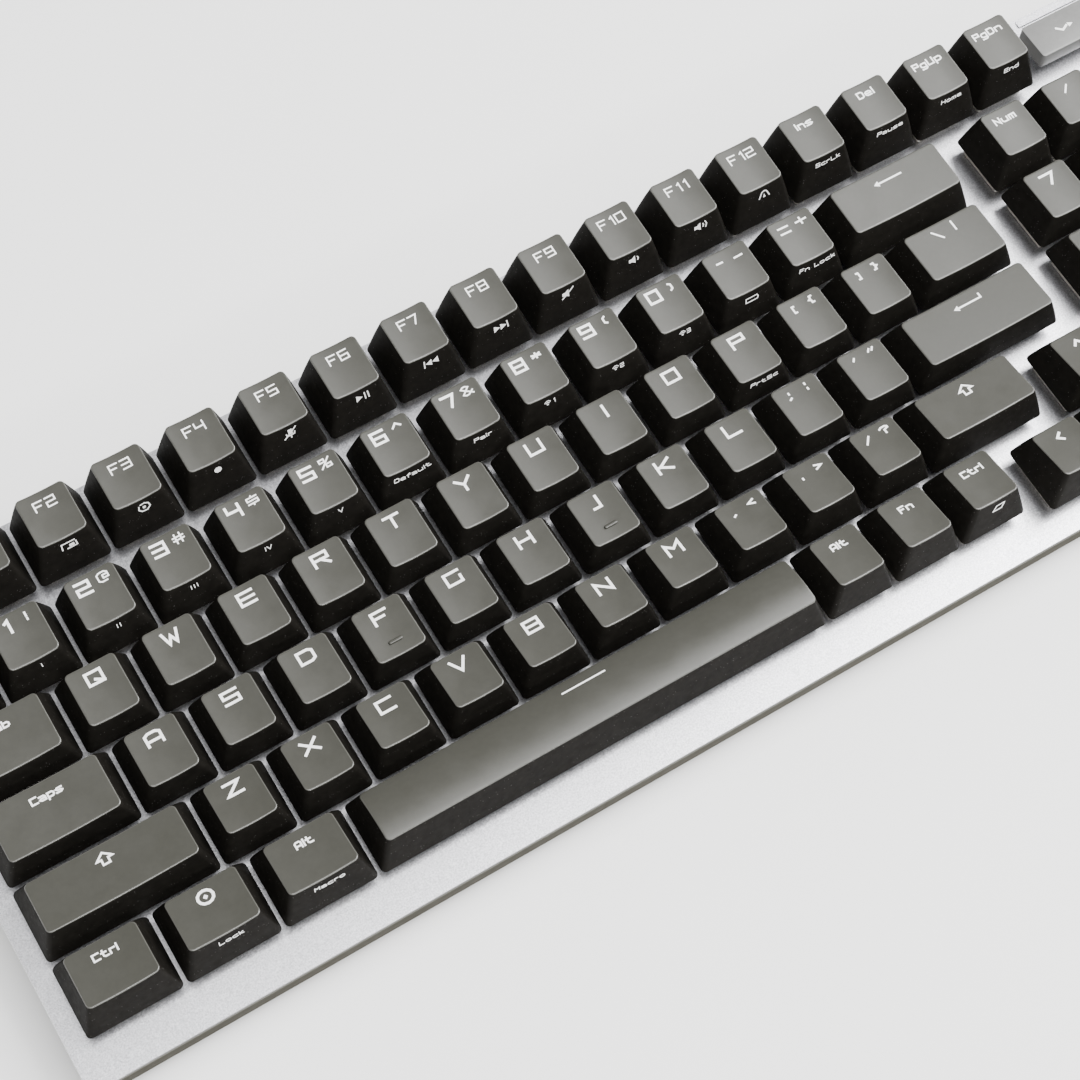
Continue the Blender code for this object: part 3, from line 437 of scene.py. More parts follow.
def rounded_outline(half_x, half_y, radius, counts):
    """Points of a rounded rectangle from the middle of its front left corner, in four sides."""
    centers = ((-1, -1), (1, -1), (1, 1), (-1, 1))
    points = []
    for side in range(4):
        start = centers[side]
        end = centers[(side + 1) % 4]
        for center, first_angle in ((start, 225 + 90 * side), (end, 270 + 90 * side)):
            arc = []
            for step in range(ARC_STEPS + 1):
                angle = math.radians(first_angle + 45 * step / ARC_STEPS)
                arc.append(((half_x - radius) * center[0] + radius * math.cos(angle),
                            (half_y - radius) * center[1] + radius * math.sin(angle)))
            if center is start:
                points += arc
            else:
                last = points[-1]
                count = counts[side % 2]
                for step in range(1, count):
                    share = step / count
                    points.append((lerp(last[0], arc[0][0], share), lerp(last[1], arc[0][1], share)))
                points += arc[:-1]
    return points


def bridge(mesh, first, second, material=0):
    count = len(first)
    for index in range(count):
        after = (index + 1) % count
        face = mesh.faces.new((first[index], first[after], second[after], second[index]))
        face.material_index = material


def add_ring(mesh, points):
    return [mesh.verts.new(point) for point in points]


def add_rounded_prism(mesh, center, sections, corner):
    """Closed body through level rounded rectangles given as (half_x, half_y, height)."""
    widest = max(sections)
    counts = outline_counts(widest[0], widest[1], corner)
    previous = None
    for half_x, half_y, height in sections:
        radius = min(corner, half_x, half_y)
        ring = add_ring(mesh, [(center[0] + x, center[1] + y, height)
                               for x, y in rounded_outline(half_x, half_y, radius, counts)])
        if previous is None:
            mesh.faces.new(ring)
        else:
            bridge(mesh, previous, ring)
        previous = ring
    mesh.faces.new(previous)


# --- keys -------------------------------------------------------------------------------------

class Key:
    """One key's place and cap shape in the deck's frame."""

    def __init__(self, name, row, left_units, width_units):
        self.name = name
        self.tall = name in TALL_KEYS
        rows_deep = 2 if self.tall else 1
        rear_row = ROW_COUNT - row
        gap = FUNCTION_ROW_GAP if row == 0 else 0.0
        shift = FUNCTION_ROW_SHIFT if row == 0 else 0.0
        self.x = BLOCK_LEFT + (left_units + width_units / 2) * UNIT + shift
        drop = ARROW_DROP if name in ARROW_KEYS else 0.0
        self.y = BLOCK_FRONT + (rear_row - rows_deep / 2) * UNIT + gap - drop
        self.half_x = (width_units * UNIT - CAP_SPACING) / 2
        self.half_y = (rows_deep * UNIT - CAP_SPACING) / 2
        front, rear, front_height, rear_height = ROW_PROFILES[row]
        if self.tall:
            front_height = ROW_PROFILES[row + 1][2]
            front -= UNIT / 2
            rear += UNIT / 2
        self.front = self.y + front
        self.rear = self.y + rear
        self.front_z = RIM_HEIGHT + front_height
        self.rear_z = RIM_HEIGHT + rear_height
        self.half_top = self.half_x - CAP_TAPER
        self.top_y = (self.front + self.rear) / 2
        self.half_top_y = (self.rear - self.front) / 2

    def plane(self, y):
        """Height of the top before it is dished."""
        return lerp(self.front_z, self.rear_z, (y - self.front) / (self.rear - self.front))

    def top(self, x, y):
        """Point of the top at a place given from the middle of the top."""
        if self.name == "space":
            swell = SPACE_CROWN * (1 - min(1.0, abs(y) / self.half_top_y) ** 2)
            return Vector((self.x + x, self.top_y + y, self.plane(self.top_y + y) + swell))
        sag = DISH_DEPTH * (1 - min(1.0, abs(x) / self.half_top) ** 2)
        return Vector((self.x + x, self.top_y + y, self.plane(self.top_y + y) - sag))

    def edge(self, x, y):
        """Point of the top's sharp outline, let out where the dish cuts into the sloping skirt."""
        point = self.top(x, y)
        drop = self.plane(self.top_y + y) - point.z
        if drop > 0:
            height = self.front_z - RIM_HEIGHT
            lean_front = (self.front - (self.y - self.half_y)) / height
            lean_rear = (self.y + self.half_y - self.rear) / height
            share = y / self.half_top_y
            lean = lean_rear if share > 0 else lean_front
            point.y += drop * lean * share * abs(share)
        return point

    def front_face(self, x, drop):
        """Point on the front of the skirt and its outward direction, drop below the top edge."""
        upper = self.edge(x, -self.half_top_y)
        lower = Vector((self.x + x * self.half_x / self.half_top, self.y - self.half_y, RIM_HEIGHT))
        down = (lower - upper).normalized()
        outward = Vector((1, 0, 0)).cross(-down).normalized()
        share = drop / (lower - upper).length
        bulge = SIDE_BULGE * 4 * share * (1 - share)
        return upper + down * drop + outward * bulge, outward


def read_layout():
    keys = {}
    for row, entries in enumerate(LAYOUT):
        left = 0.0
        for entry in entries:
            if isinstance(entry, tuple):
                name, width = entry
                keys[name] = Key(name, row, left, width)
                left += width
            else:
                left += entry
    return keys


def stabiliser_places(key):
    """Middles of the two stabiliser posts of a wide or tall key."""
    if key.name not in STABILISED:
        return []
    offset = SPACE_STABILISER_OFFSET if key.name == "space" else STABILISER_OFFSET
    if key.tall:
        return [(key.x, key.y - offset), (key.x, key.y + offset)]
    return [(key.x - offset, key.y), (key.x + offset, key.y)]


def fill_top(mesh, key, ring, counts):
    """Grid of quads inside the outline of the top, following the dish."""
    across = 2 * ARC_STEPS + counts[0]
    along = 2 * ARC_STEPS + counts[1]
    front = ring[:across + 1]
    right = ring[across:across + along + 1]
    rear = ring[across + along:2 * across + along + 1][::-1]
    left = (ring[2 * across + along:] + ring[:1])[::-1]
    rows = [front]
    for j in range(1, along):
        v = j / along
        row = [left[j]]
        for i in range(1, across):
            u = i / across
            sides = left[j].co * (1 - u) + right[j].co * u
            ends = front[i].co * (1 - v) + rear[i].co * v
            corners = ((front[0].co * (1 - u) + front[-1].co * u) * (1 - v)
                       + (rear[0].co * (1 - u) + rear[-1].co * u) * v)
            place = sides + ends - corners
            row.append(mesh.verts.new(key.top(place.x - key.x, place.y - key.top_y)))
        row.append(right[j])
        rows.append(row)
    rows.append(rear)
    for lower, upper in zip(rows, rows[1:]):
        for i in range(across):
            mesh.faces.new((lower[i], lower[i + 1], upper[i + 1], upper[i]))


def add_cap(mesh, key):
    """Moulded cap: skirt, rounded upper edge, dished top, inner walls and roof."""
    counts = outline_counts(key.half_top, key.half_top_y, TOP_CORNER)
    base = rounded_outline(key.half_x, key.half_y, BASE_CORNER, counts)
    top = rounded_outline(key.half_top, key.half_top_y, TOP_CORNER, counts)
    base = [Vector((key.x + x, key.y + y, RIM_HEIGHT)) for x, y in base]
    edge = [key.edge(x, y) for x, y in top]
    inset = rounded_outline(key.half_top - EDGE_ROUND, key.half_top_y - EDGE_ROUND,
                            TOP_CORNER - EDGE_ROUND, counts)
    inset = [key.top(x, y) for x, y in inset]
    outward = [(Vector((low.x - key.x, low.y - key.y, 0))).normalized() for low in base]
    shoulder = [high + (low - high).normalized() * EDGE_ROUND for low, high in zip(base, edge)]

    rings = [add_ring(mesh, base)]
    for share in (0.3, 0.6, 0.85):
        rings.append(add_ring(mesh, [
            lerp(low, high, share) + out * SIDE_BULGE * 4 * share * (1 - share)
            for low, high, out in zip(base, shoulder, outward)]))
    for share in (0.0, 0.25, 0.5, 0.75, 1.0):
        rings.append(add_ring(mesh, [
            low * (1 - share) ** 2 + middle * 2 * share * (1 - share) + high * share ** 2
            for low, middle, high in zip(shoulder, edge, inset)]))
    for number, (lower, upper) in enumerate(zip(rings, rings[1:])):
        # Skirt faces take slot 1, coloured darker than the top as painted shade; the rounded edge takes
        # slot 2, coloured lighter as a painted highlight.
        bridge(mesh, lower, upper, 1 if number < 4 else 2 if number in (5, 6) else 0)
    fill_top(mesh, key, rings[-1], counts)

    inner_rim = rounded_outline(key.half_x - CAP_WALL, key.half_y - CAP_WALL, BASE_CORNER / 2, counts)
    roof = min(key.front_z, key.rear_z) - CAP_ROOF
    inner_top = rounded_outline(key.half_top - CAP_WALL, key.half_top_y - CAP_WALL,
                                BASE_CORNER / 2, counts)
    inner_low = add_ring(mesh, [(key.x + x, key.y + y, RIM_HEIGHT) for x, y in inner_rim])
    inner_high = add_ring(mesh, [(key.x + x, key.top_y + y, roof) for x, y in inner_top])
    bridge(mesh, inner_low, rings[0], 1)
    bridge(mesh, inner_high, inner_low, 1)
    ceiling = mesh.faces.new(inner_high)
    ceiling.material_index = 1
    return roof


def add_post(mesh, x, y, tip, roof, radius, material=1, steps=20):
    """Round post from the roof down to its tip, with a chamfered end."""
    previous = None
    chamfer = radius * 0.12
    for height, size in ((tip, radius - chamfer), (tip + chamfer, radius), (roof + 0.0002, radius)):
        ring = add_ring(mesh, [(x + size * math.cos(2 * math.pi * step / steps),
                                y + size * math.sin(2 * math.pi * step / steps), height)
                               for step in range(steps)])
        if previous is None:
            mesh.faces.new(ring).material_index = material
        else:
            bridge(mesh, previous, ring, material)
        previous = ring
    mesh.faces.new(previous).material_index = material


# --- legends ----------------------------------------------------------------------------------

def glyph_strokes(letter):
    """Strokes of a glyph in grid units, and its advance width."""
    code = GLYPHS[letter]
    drop = 2 if code.startswith("~") else 0
    strokes = []
    for part in code.lstrip("~").split(","):
        points = [(int(pair[0]), int(pair[1]) - drop) for pair in part.split()]
        if points:
            strokes.append(points)
    width = max([x for stroke in strokes for x, y in stroke], default=2)
    return strokes, width


def text_strokes(text, glyph_width, height):
    """Strokes of a word in metres, centred on its own middle."""
    step_x = glyph_width / 4
    step_y = height / 6
    cursor = 0.0
    strokes = []
    for letter in text:
        parts, width = glyph_strokes(letter)
        for points in parts:
            strokes.append([((cursor + x) * step_x, y * step_y - height / 2) for x, y in points])
        cursor += width + 1.7
    middle = (cursor - 1.7) * step_x / 2
    return [[(x - middle, y) for x, y in stroke] for stroke in strokes]


def resample(points):
    """The same path with extra points, so that it can follow a curved surface."""
    result = [points[0]]
    for first, second in zip(points, points[1:]):
        length = math.dist(first, second)
        count = max(1, math.ceil(length / LEGEND_STEP))
        for step in range(1, count + 1):
            result.append((lerp(first[0], second[0], step / count),
                           lerp(first[1], second[1], step / count)))
    return result


def ribbon_sides(points, half):
    """Left and right outline of a stroke of even width, mitred, with square ends."""
    closed = math.dist(points[0], points[-1]) < 1e-9
    path = resample(points)
    count = len(path)
    left = []
    right = []
    for index in range(count):
        here = Vector(path[index])
        before = Vector(path[index - 1]) if index else None
        after = Vector(path[index + 1]) if index + 1 < count else None
        if closed and before is None:
            before = Vector(path[-2])
        if closed and after is None:
            after = Vector(path[1])
        into = (here - before).normalized() if before is not None else None
        out = (after - here).normalized() if after is not None else None
        if into is None:
            here = here - out * half
            into = out
        if out is None:
            here = here + into * half
            out = into
        direction = (into + out)
        direction = direction.normalized() if direction.length > 0.2 else into
        normal = Vector((-direction.y, direction.x))
        stretch = min(2.2, 1 / max(0.3, abs(normal.dot(Vector((-into.y, into.x))))))
        left.append(here + normal * half * stretch)
        right.append(here - normal * half * stretch)
    return left, right, closed


def add_slab(mesh, outline_pairs, lift, closed=False):
    """Thin solid along pairs of points; lift gives the lower and upper place of a 2D point."""
    sections = []
    for left, right in outline_pairs:
        low_left, high_left = lift(left)
        low_right, high_right = lift(right)
        sections.append(add_ring(mesh, [low_left, low_right, high_right, high_left]))
    for first, second in zip(sections, sections[1:]):
        bridge(mesh, first, second)
    if closed:
        bridge(mesh, sections[-1], sections[0])
    else:
        mesh.faces.new(sections[0])
        mesh.faces.new(sections[-1])


def add_stroke(mesh, points, half, lift):
    left, right, closed = ribbon_sides(points, half)
    pairs = list(zip(left, right))
    if closed:
        pairs = pairs[:-1]
    add_slab(mesh, pairs, lift, closed)


def add_fill(mesh, points, lift):
    """Filled outline as a thin solid."""
    lows = []
    highs = []
    for point in points:
        low, high = lift(Vector(point))
        lows.append(low)
        highs.append(high)
    lower = add_ring(mesh, lows)
    upper = add_ring(mesh, highs)
    mesh.faces.new(lower)
    mesh.faces.new(upper)
    bridge(mesh, lower, upper)


def top_lift(key, x, y):
    """Maps a 2D point around (x, y) of the top to its sunk and its proud place."""
    def lift(point):
        place = key.top(x + point[0], y + point[1])
        return place - Vector((0, 0, LEGEND_SUNK)), place + Vector((0, 0, LEGEND_PROUD))
    return lift


def front_lift(key, x, drop):
    def lift(point):
        place, outward = key.front_face(x + point[0], drop - point[1])
        return place - outward * LEGEND_SUNK, place + outward * LEGEND_PROUD
    return lift


def add_text(mesh, text, glyph_size, lift, stroke=LEGEND_STROKE):
    for points in text_strokes(text, *glyph_size):
        add_stroke(mesh, points, stroke / 2, lift)


def add_icon(mesh, icon, lift, stroke, scale=1.0):
    unit = 0.001 * scale
    for points in icon.get("strokes", ()):
        add_stroke(mesh, [(x * unit, y * unit) for x, y in points], stroke / 2, lift)
    for points in icon.get("fills", ()):
        add_fill(mesh, [(x * unit, y * unit) for x, y in points], lift)


def turned(icon, degrees):
    """An icon turned about its middle."""
    cos = math.cos(math.radians(degrees))
    sin = math.sin(math.radians(degrees))
    return {kind: [[(x * cos - y * sin, x * sin + y * cos) for x, y in points] for points in shapes]
            for kind, shapes in icon.items()}


def add_top_legend(mesh, key):
    """Main legend and shifted sign near the rear edge of the top."""
    def place(name):
        x, back = TOP_PLACES[name]
        return top_lift(key, x, key.half_top_y - back)

    name = key.name
    if name in SHIFTED or name in PAIRS:
        lower, upper = PAIRS.get(name) or (name, SHIFTED[name])
        size = TOP_SIZES["small" if name in PAIRS else "digit"]
        stroke = SIGN_STROKE if name in PAIRS else LEGEND_STROKE
        upper_size = TOP_SIZES["small"]
        if name in ("backslash", "equal"):
            size = upper_size = TOP_SIZES["slash"]
        if upper in CROWDED_SIGNS:
            upper_size = TOP_SIZES["crowded"]
        add_text(mesh, lower, size, place("left"), stroke)
        add_text(mesh, upper, upper_size, place("right"),
                 FINE_STROKE if upper in CROWDED_SIGNS else SIGN_STROKE)
    elif name.startswith("pad_") and name != "pad_point":
        add_text(mesh, name[-1], TOP_SIZES["letter"], place("middle"))
    elif name in PAD_SIGNS:
        add_text(mesh, PAD_SIGNS[name], TOP_SIZES["small"], place("middle"), SIGN_STROKE)
    elif name in WORDS:
        upper_row = name in ("insert", "delete", "page_up", "page_down", "num_lock")
        kind = "upper word" if upper_row else "word"
        add_text(mesh, WORDS[name], TOP_SIZES[kind], place(kind), WORD_STROKE)
    elif name in ICONS_TOP:
        where = place("shift" if name.endswith("shift") else "word")
        add_icon(mesh, ICONS_TOP[name], where, LEGEND_STROKE if name == "system" else SIGN_STROKE)
    elif name in CURSOR_TURNS:
        add_icon(mesh, turned(CURSOR_ARROW, CURSOR_TURNS[name]), place("word"), LEGEND_STROKE)
    elif name == "space":
        add_stroke(mesh, [(-0.0055, 0.0), (0.0055, 0.0)], 0.0002, place("line"))
    elif name[0] == "f" and len(name) > 1:
        add_text(mesh, name.upper(), TOP_SIZES["function"], place("word"), FINE_STROKE)
    else:
        add_text(mesh, name.upper(), TOP_SIZES["letter"], place("middle"))


def add_front_legend(mesh, key):
    """Small second function on the front of the skirt."""
    name = key.name
    if name in FRONT_WORDS:
        add_text(mesh, FRONT_WORDS[name], (0.00104, 0.00110), front_lift(key, 0.0005, 0.0024),
                 FRONT_STROKE)
    elif name in WIRELESS_KEYS:
        add_icon(mesh, WIRELESS, front_lift(key, -0.0006, 0.0024), FRONT_STROKE)
        add_text(mesh, WIRELESS_KEYS[name], (0.0008, 0.0012), front_lift(key, 0.0010, 0.0024),
                 FRONT_STROKE)
    elif name in ICONS_FRONT:
        scale = 1.6 if name[0] == "f" else 1.3
        add_icon(mesh, ICONS_FRONT[name], front_lift(key, 0.0004, 0.0028), FRONT_STROKE * scale, scale)


def add_homing_bar(mesh, key):
    """Raised bar on F and J, as one rounded rib."""
    place = -key.half_top_y + 0.0036
    half_x = 0.0018
    half_y = 0.0005
    counts = (10, 2)
    previous = None
    for share, height in ((1.0, -0.0001), (0.96, 0.00028), (0.7, 0.00046), (0.35, 0.00052)):
        outline = rounded_outline(half_x - half_y * (1 - share), half_y * share, half_y * share * 0.9,
                                  counts)
        ring = add_ring(mesh, [key.top(x, place + y) + Vector((0, 0, height)) for x, y in outline])
        if previous is None:
            mesh.faces.new(ring)
        else:
            bridge(mesh, previous, ring)
        previous = ring
    mesh.faces.new(previous)


# --- materials --------------------------------------------------------------------------------

class Surface:
    """A Principled material with helpers for procedural detail in object space."""

    def __init__(self, name, color, roughness, metallic=0.0):
        self.material = bpy.data.materials.new(name)
        self.material.use_nodes = True
        self.tree = self.material.node_tree
        self.shader = self.tree.nodes["Principled BSDF"]
        self.shader.inputs["Base Color"].default_value = (*color, 1.0)
        self.shader.inputs["Roughness"].default_value = roughness
        self.shader.inputs["Metallic"].default_value = metallic
        self.color = color
        self.place = self.node("ShaderNodeTexCoord")

    def node(self, kind, **settings):
        item = self.tree.nodes.new(kind)
        for key, value in settings.items():
            setattr(item, key, value)
        return item

    def link(self, source, target):
        self.tree.links.new(source, target)

    def noise(self, scale, detail=2.0, roughness=0.5, stretch=None):
        """Noise texture whose scale is in cells per metre."""
        item = self.node("ShaderNodeTexNoise")
        item.inputs["Scale"].default_value = scale
        item.inputs["Detail"].default_value = detail
        item.inputs["Roughness"].default_value = roughness
        source = self.place.outputs["Object"]
        if stretch:
            mapping = self.node("ShaderNodeMapping")
            mapping.inputs["Scale"].default_value = stretch
            self.link(source, mapping.inputs["Vector"])
            source = mapping.outputs["Vector"]
        self.link(source, item.inputs["Vector"])
        return item.outputs["Fac"]

    def remap(self, source, low, high, from_low=0.3, from_high=0.7):
        item = self.node("ShaderNodeMapRange")
        item.inputs["From Min"].default_value = from_low
        item.inputs["From Max"].default_value = from_high
        item.inputs["To Min"].default_value = low
        item.inputs["To Max"].default_value = high
        self.link(source, item.inputs["Value"])
        return item.outputs["Result"]

    def mix(self, share, first, second):
        """Colour mix; first and second are colours or sockets."""
        item = self.node("ShaderNodeMix", data_type="RGBA")
        self.link(share, item.inputs["Factor"])
        for socket, value in ((item.inputs[6], first), (item.inputs[7], second)):
            if isinstance(value, tuple):
                socket.default_value = (*value, 1.0)
            else:
                self.link(value, socket)
        return item.outputs[2]

    def vary_color(self, source, spread):
        """Base colour that swings around its own value by a share."""
        darker = tuple(value * (1 - spread) for value in self.color)
        lighter = tuple(min(1.0, value * (1 + spread)) for value in self.color)
        mixed = self.mix(self.remap(source, 0.0, 1.0), darker, lighter)
        self.link(mixed, self.shader.inputs["Base Color"])
        return mixed

    def vary_roughness(self, source, low, high):
        self.link(self.remap(source, low, high), self.shader.inputs["Roughness"])

    def bump(self, source, depth, strength=1.0):
        item = self.node("ShaderNodeBump")
        item.inputs["Strength"].default_value = strength
        item.inputs["Distance"].default_value = depth
        self.link(source, item.inputs["Height"])
        self.link(item.outputs["Normal"], self.shader.inputs["Normal"])

    def specks(self, base, scale, radius, color):
        """Sparse dust: small round specks scattered over a colour."""
        cells = self.node("ShaderNodeTexVoronoi", feature="F1")
        cells.inputs["Scale"].default_value = scale
        self.link(self.place.outputs["Object"], cells.inputs["Vector"])
        near = self.remap(cells.outputs["Distance"], 1.0, 0.0, radius * 0.6, radius)
        picked = self.remap(cells.outputs["Color"], 0.0, 1.0, 0.55, 0.75)
        both = self.node("ShaderNodeMath", operation="MULTIPLY")
        self.link(near, both.inputs[0])
        self.link(picked, both.inputs[1])
        mixed = self.mix(both.outputs["Value"], base, color)
        self.link(mixed, self.shader.inputs["Base Color"])


def cap_top_material():
    """Satin moulded plastic, faintly grained, worn a little smoother in broad patches."""
    surface = Surface("cap_top_plastic", (0.036, 0.0355, 0.0285), 0.36)
    surface.vary_color(surface.noise(900.0, 3.0), 0.05)
    surface.vary_roughness(surface.noise(160.0, 2.0), 0.33, 0.42)
    surface.bump(surface.noise(9000.0, 2.0), 0.000012, 0.6)
    surface.shader.inputs["Specular IOR Level"].default_value = 0.6
    return surface.material


def cap_skirt_shaded_material():
    """Near-black sides of a cap, coloured far darker than the top's plastic as painted shade, with the odd
    speck of dust.
    """
    surface = Surface("cap_skirt_plastic", (0.0088, 0.0080, 0.0067), 0.60)
    base = surface.vary_color(surface.noise(500.0, 3.0), 0.2)
    surface.specks(base, 1400.0, 0.15, (0.12, 0.115, 0.11))
    surface.vary_roughness(surface.noise(700.0, 2.0), 0.55, 0.65)
    surface.bump(surface.noise(7000.0, 2.0), 0.00002, 0.7)
    surface.shader.inputs["Specular IOR Level"].default_value = 0.04
    return surface.material


def cap_edge_highlight_material():
    """Rounded upper edge of a cap, polished a little by handling to a lower roughness; its colour, lighter
    than the top's, is a painted highlight.
    """
    surface = Surface("cap_edge_plastic", (0.075, 0.074, 0.065), 0.22)
    surface.vary_roughness(surface.noise(700.0, 2.0), 0.20, 0.30)
    surface.bump(surface.noise(9000.0, 2.0), 0.000006, 0.4)
    surface.shader.inputs["Specular IOR Level"].default_value = 0.9
    return surface.material


def legend_glow_material():
    surface = Surface("legend_white", (0.90, 0.90, 0.885), 0.45)
    # The faint white emission below makes the print glow: a painted glow.
    surface.shader.inputs["Emission Color"].default_value = (1.0, 1.0, 0.98, 1.0)
    surface.shader.inputs["Emission Strength"].default_value = 0.25
    surface.vary_color(surface.noise(4000.0, 2.0), 0.03)
    surface.bump(surface.noise(9000.0, 2.0), 0.000008, 0.5)
    return surface.material


def plate_material():
    """Sand-blasted, clear-anodised aluminium: dense fine grain with brighter grit."""
    surface = Surface("blasted_aluminium", (0.62, 0.62, 0.64), 0.35, 1.0)
    fine = surface.noise(2600.0, 3.0, 0.7)
    broad = surface.noise(30.0, 2.0)
    darker = (0.46, 0.46, 0.485)
    lighter = (0.84, 0.84, 0.87)
    grain = surface.mix(surface.remap(fine, 0.0, 1.0, 0.35, 0.65), darker, lighter)
    cloud = surface.mix(surface.remap(broad, 0.0, 0.12), grain, (0.55, 0.55, 0.56))
    surface.link(cloud, surface.shader.inputs["Base Color"])
    surface.vary_roughness(surface.noise(2200.0, 1.0), 0.30, 0.40)
    surface.bump(surface.noise(3000.0, 2.0, 0.6), 0.000007, 0.6)
    return surface.material


def chamfer_material():
    """Diamond-cut edge of the plate: bright, with faint lines along the cut."""
    surface = Surface("cut_aluminium_edge", (0.90, 0.90, 0.90), 0.20, 1.0)
    surface.vary_roughness(surface.noise(2500.0, 2.0, stretch=(0.02, 1.0, 1.0)), 0.14, 0.28)
    surface.bump(surface.noise(4000.0, 2.0, stretch=(0.02, 1.0, 1.0)), 0.000006, 0.4)
    return surface.material


def plate_side_shaded_material():
    """Side of the plate, coloured far darker than its blasted upper face as painted shade, and duller."""
    surface = Surface("plate_side", (0.085, 0.080, 0.065), 0.42, 1.0)
    surface.vary_color(surface.noise(500.0, 2.0), 0.12)
    surface.vary_roughness(surface.noise(2200.0, 1.0), 0.44, 0.60)
    surface.bump(surface.noise(3000.0, 3.0, 0.7), 0.00004, 0.7)
    return surface.material


def board_material():
    """Dark solder mask with faint tracks under it."""
    surface = Surface("board_mask", (0.014, 0.016, 0.014), 0.32)
    surface.vary_color(surface.noise(900.0, 2.0, stretch=(0.15, 1.0, 1.0)), 0.35)
    surface.bump(surface.noise(1200.0, 2.0, stretch=(0.15, 1.0, 1.0)), 0.00003, 0.5)
    return surface.material


def case_shaded_material():
    # Coloured dark olive-grey as painted shade; the faint mottle is random tone.
    surface = Surface("case_plastic", (0.052, 0.049, 0.038), 0.78)
    surface.shader.inputs["Specular IOR Level"].default_value = 0.08
    surface.vary_color(surface.noise(60.0, 3.0), 0.06)
    surface.vary_roughness(surface.noise(400.0, 2.0), 0.72, 0.84)
    surface.bump(surface.noise(2600.0, 3.0, 0.6), 0.00004, 0.7)
    return surface.material


def black_plastic_material(name, color=(0.012, 0.012, 0.011), roughness=0.45, gloss=0.5):
    surface = Surface(name, color, roughness)
    surface.shader.inputs["Specular IOR Level"].default_value = gloss
    surface.vary_color(surface.noise(400.0, 3.0), 0.12)
    surface.vary_roughness(surface.noise(300.0, 2.0), roughness - 0.06, roughness + 0.06)
    surface.bump(surface.noise(5000.0, 2.0), 0.00002, 0.6)
    return surface.material


def clear_housing_material():
    """Smoky clear plastic of the switch tops."""
    surface = Surface("clear_smoke_plastic", (0.72, 0.68, 0.60), 0.12)
    surface.shader.inputs["Transmission Weight"].default_value = 0.35
    surface.shader.inputs["IOR"].default_value = 1.49
    surface.vary_roughness(surface.noise(300.0, 2.0), 0.08, 0.22)
    surface.bump(surface.noise(900.0, 2.0), 0.00003, 0.5)
    return surface.material


def metal_material(name, color, roughness, stretch=None):
    surface = Surface(name, color, roughness, 1.0)
    surface.vary_color(surface.noise(300.0, 2.0), 0.06)
    surface.vary_roughness(surface.noise(2500.0, 2.0, stretch=stretch), roughness - 0.08,
                           roughness + 0.10)
    surface.bump(surface.noise(4000.0, 2.0, stretch=stretch), 0.00001, 0.5)
    return surface.material


def rubber_material():
    surface = Surface("foot_rubber", (0.022, 0.022, 0.022), 0.85)
    surface.vary_color(surface.noise(200.0, 3.0), 0.15)
    surface.bump(surface.noise(3500.0, 3.0, 0.6), 0.00005, 0.8)
    return surface.material


def foam_material():
    surface = Surface("pad_foam", (0.05, 0.05, 0.052), 0.95)
    surface.vary_color(surface.noise(1500.0, 3.0), 0.3)
    surface.bump(surface.noise(1800.0, 3.0, 0.7), 0.00015, 1.0)
    return surface.material


def foil_material():
    surface = Surface("cell_foil", (0.55, 0.56, 0.58), 0.38, 0.6)
    surface.vary_roughness(surface.noise(120.0, 3.0), 0.30, 0.50)
    surface.bump(surface.noise(90.0, 3.0), 0.0002, 0.5)
    return surface.material


def button_face_material():
    """Satin grey face of the media button."""
    surface = Surface("hub_button_grey", (0.165, 0.165, 0.160), 0.38)
    surface.vary_color(surface.noise(900.0, 3.0), 0.05)
    surface.vary_roughness(surface.noise(160.0, 2.0), 0.34, 0.44)
    surface.bump(surface.noise(9000.0, 2.0), 0.000012, 0.6)
    return surface.material


def floor_material():
    surface = Surface("pale_floor", (0.95, 0.95, 0.945), 0.65)
    surface.vary_color(surface.noise(3.0, 2.0), 0.01)
    return surface.material


# --- assembly of the keys ---------------------------------------------------------------------

def place_piece(item, body, slot, *nodes):
    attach(item, body)
    if nodes:
        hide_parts(*nodes)
    return item


def build_keys(keys):
    """Every cap as its own piece on its CAD key's body, and one print of legends for each body."""
    # The skirt slot's darker colour is painted shade and the edge slot's lighter colour is a painted
    # highlight.
    cap_materials = [cap_top_material(), cap_skirt_shaded_material(), cap_edge_highlight_material()]
    print_material = legend_glow_material()
    index = corner_index()
    prints = {}
    for name, key in keys.items():
        node = node_near(index, (key.x - key.half_x, key.y - key.half_y, RIM_HEIGHT))
        cap = bmesh.new()
        roof = add_cap(cap, key)
        add_post(cap, key.x, key.y, POST_TIP, roof, POST_RADIUS)
        for x, y in stabiliser_places(key):
            add_post(cap, x, y, STABILISER_POST_TIP, roof, STABILISER_POST_RADIUS)
        if name in ("f", "j"):
            add_homing_bar(cap, key)
        piece = make_object(f"cap_{name}", cap, cap_materials)
        place_piece(piece, node, "keycap", node)
        legends = prints.setdefault(node, bmesh.new())
        add_top_legend(legends, key)
        add_front_legend(legends, key)
    for node, legends in prints.items():
        piece = make_object(f"legend_{node}", legends, [print_material])
        place_piece(piece, node, "legend", node)


# --- deck stack -------------------------------------------------------------------------------

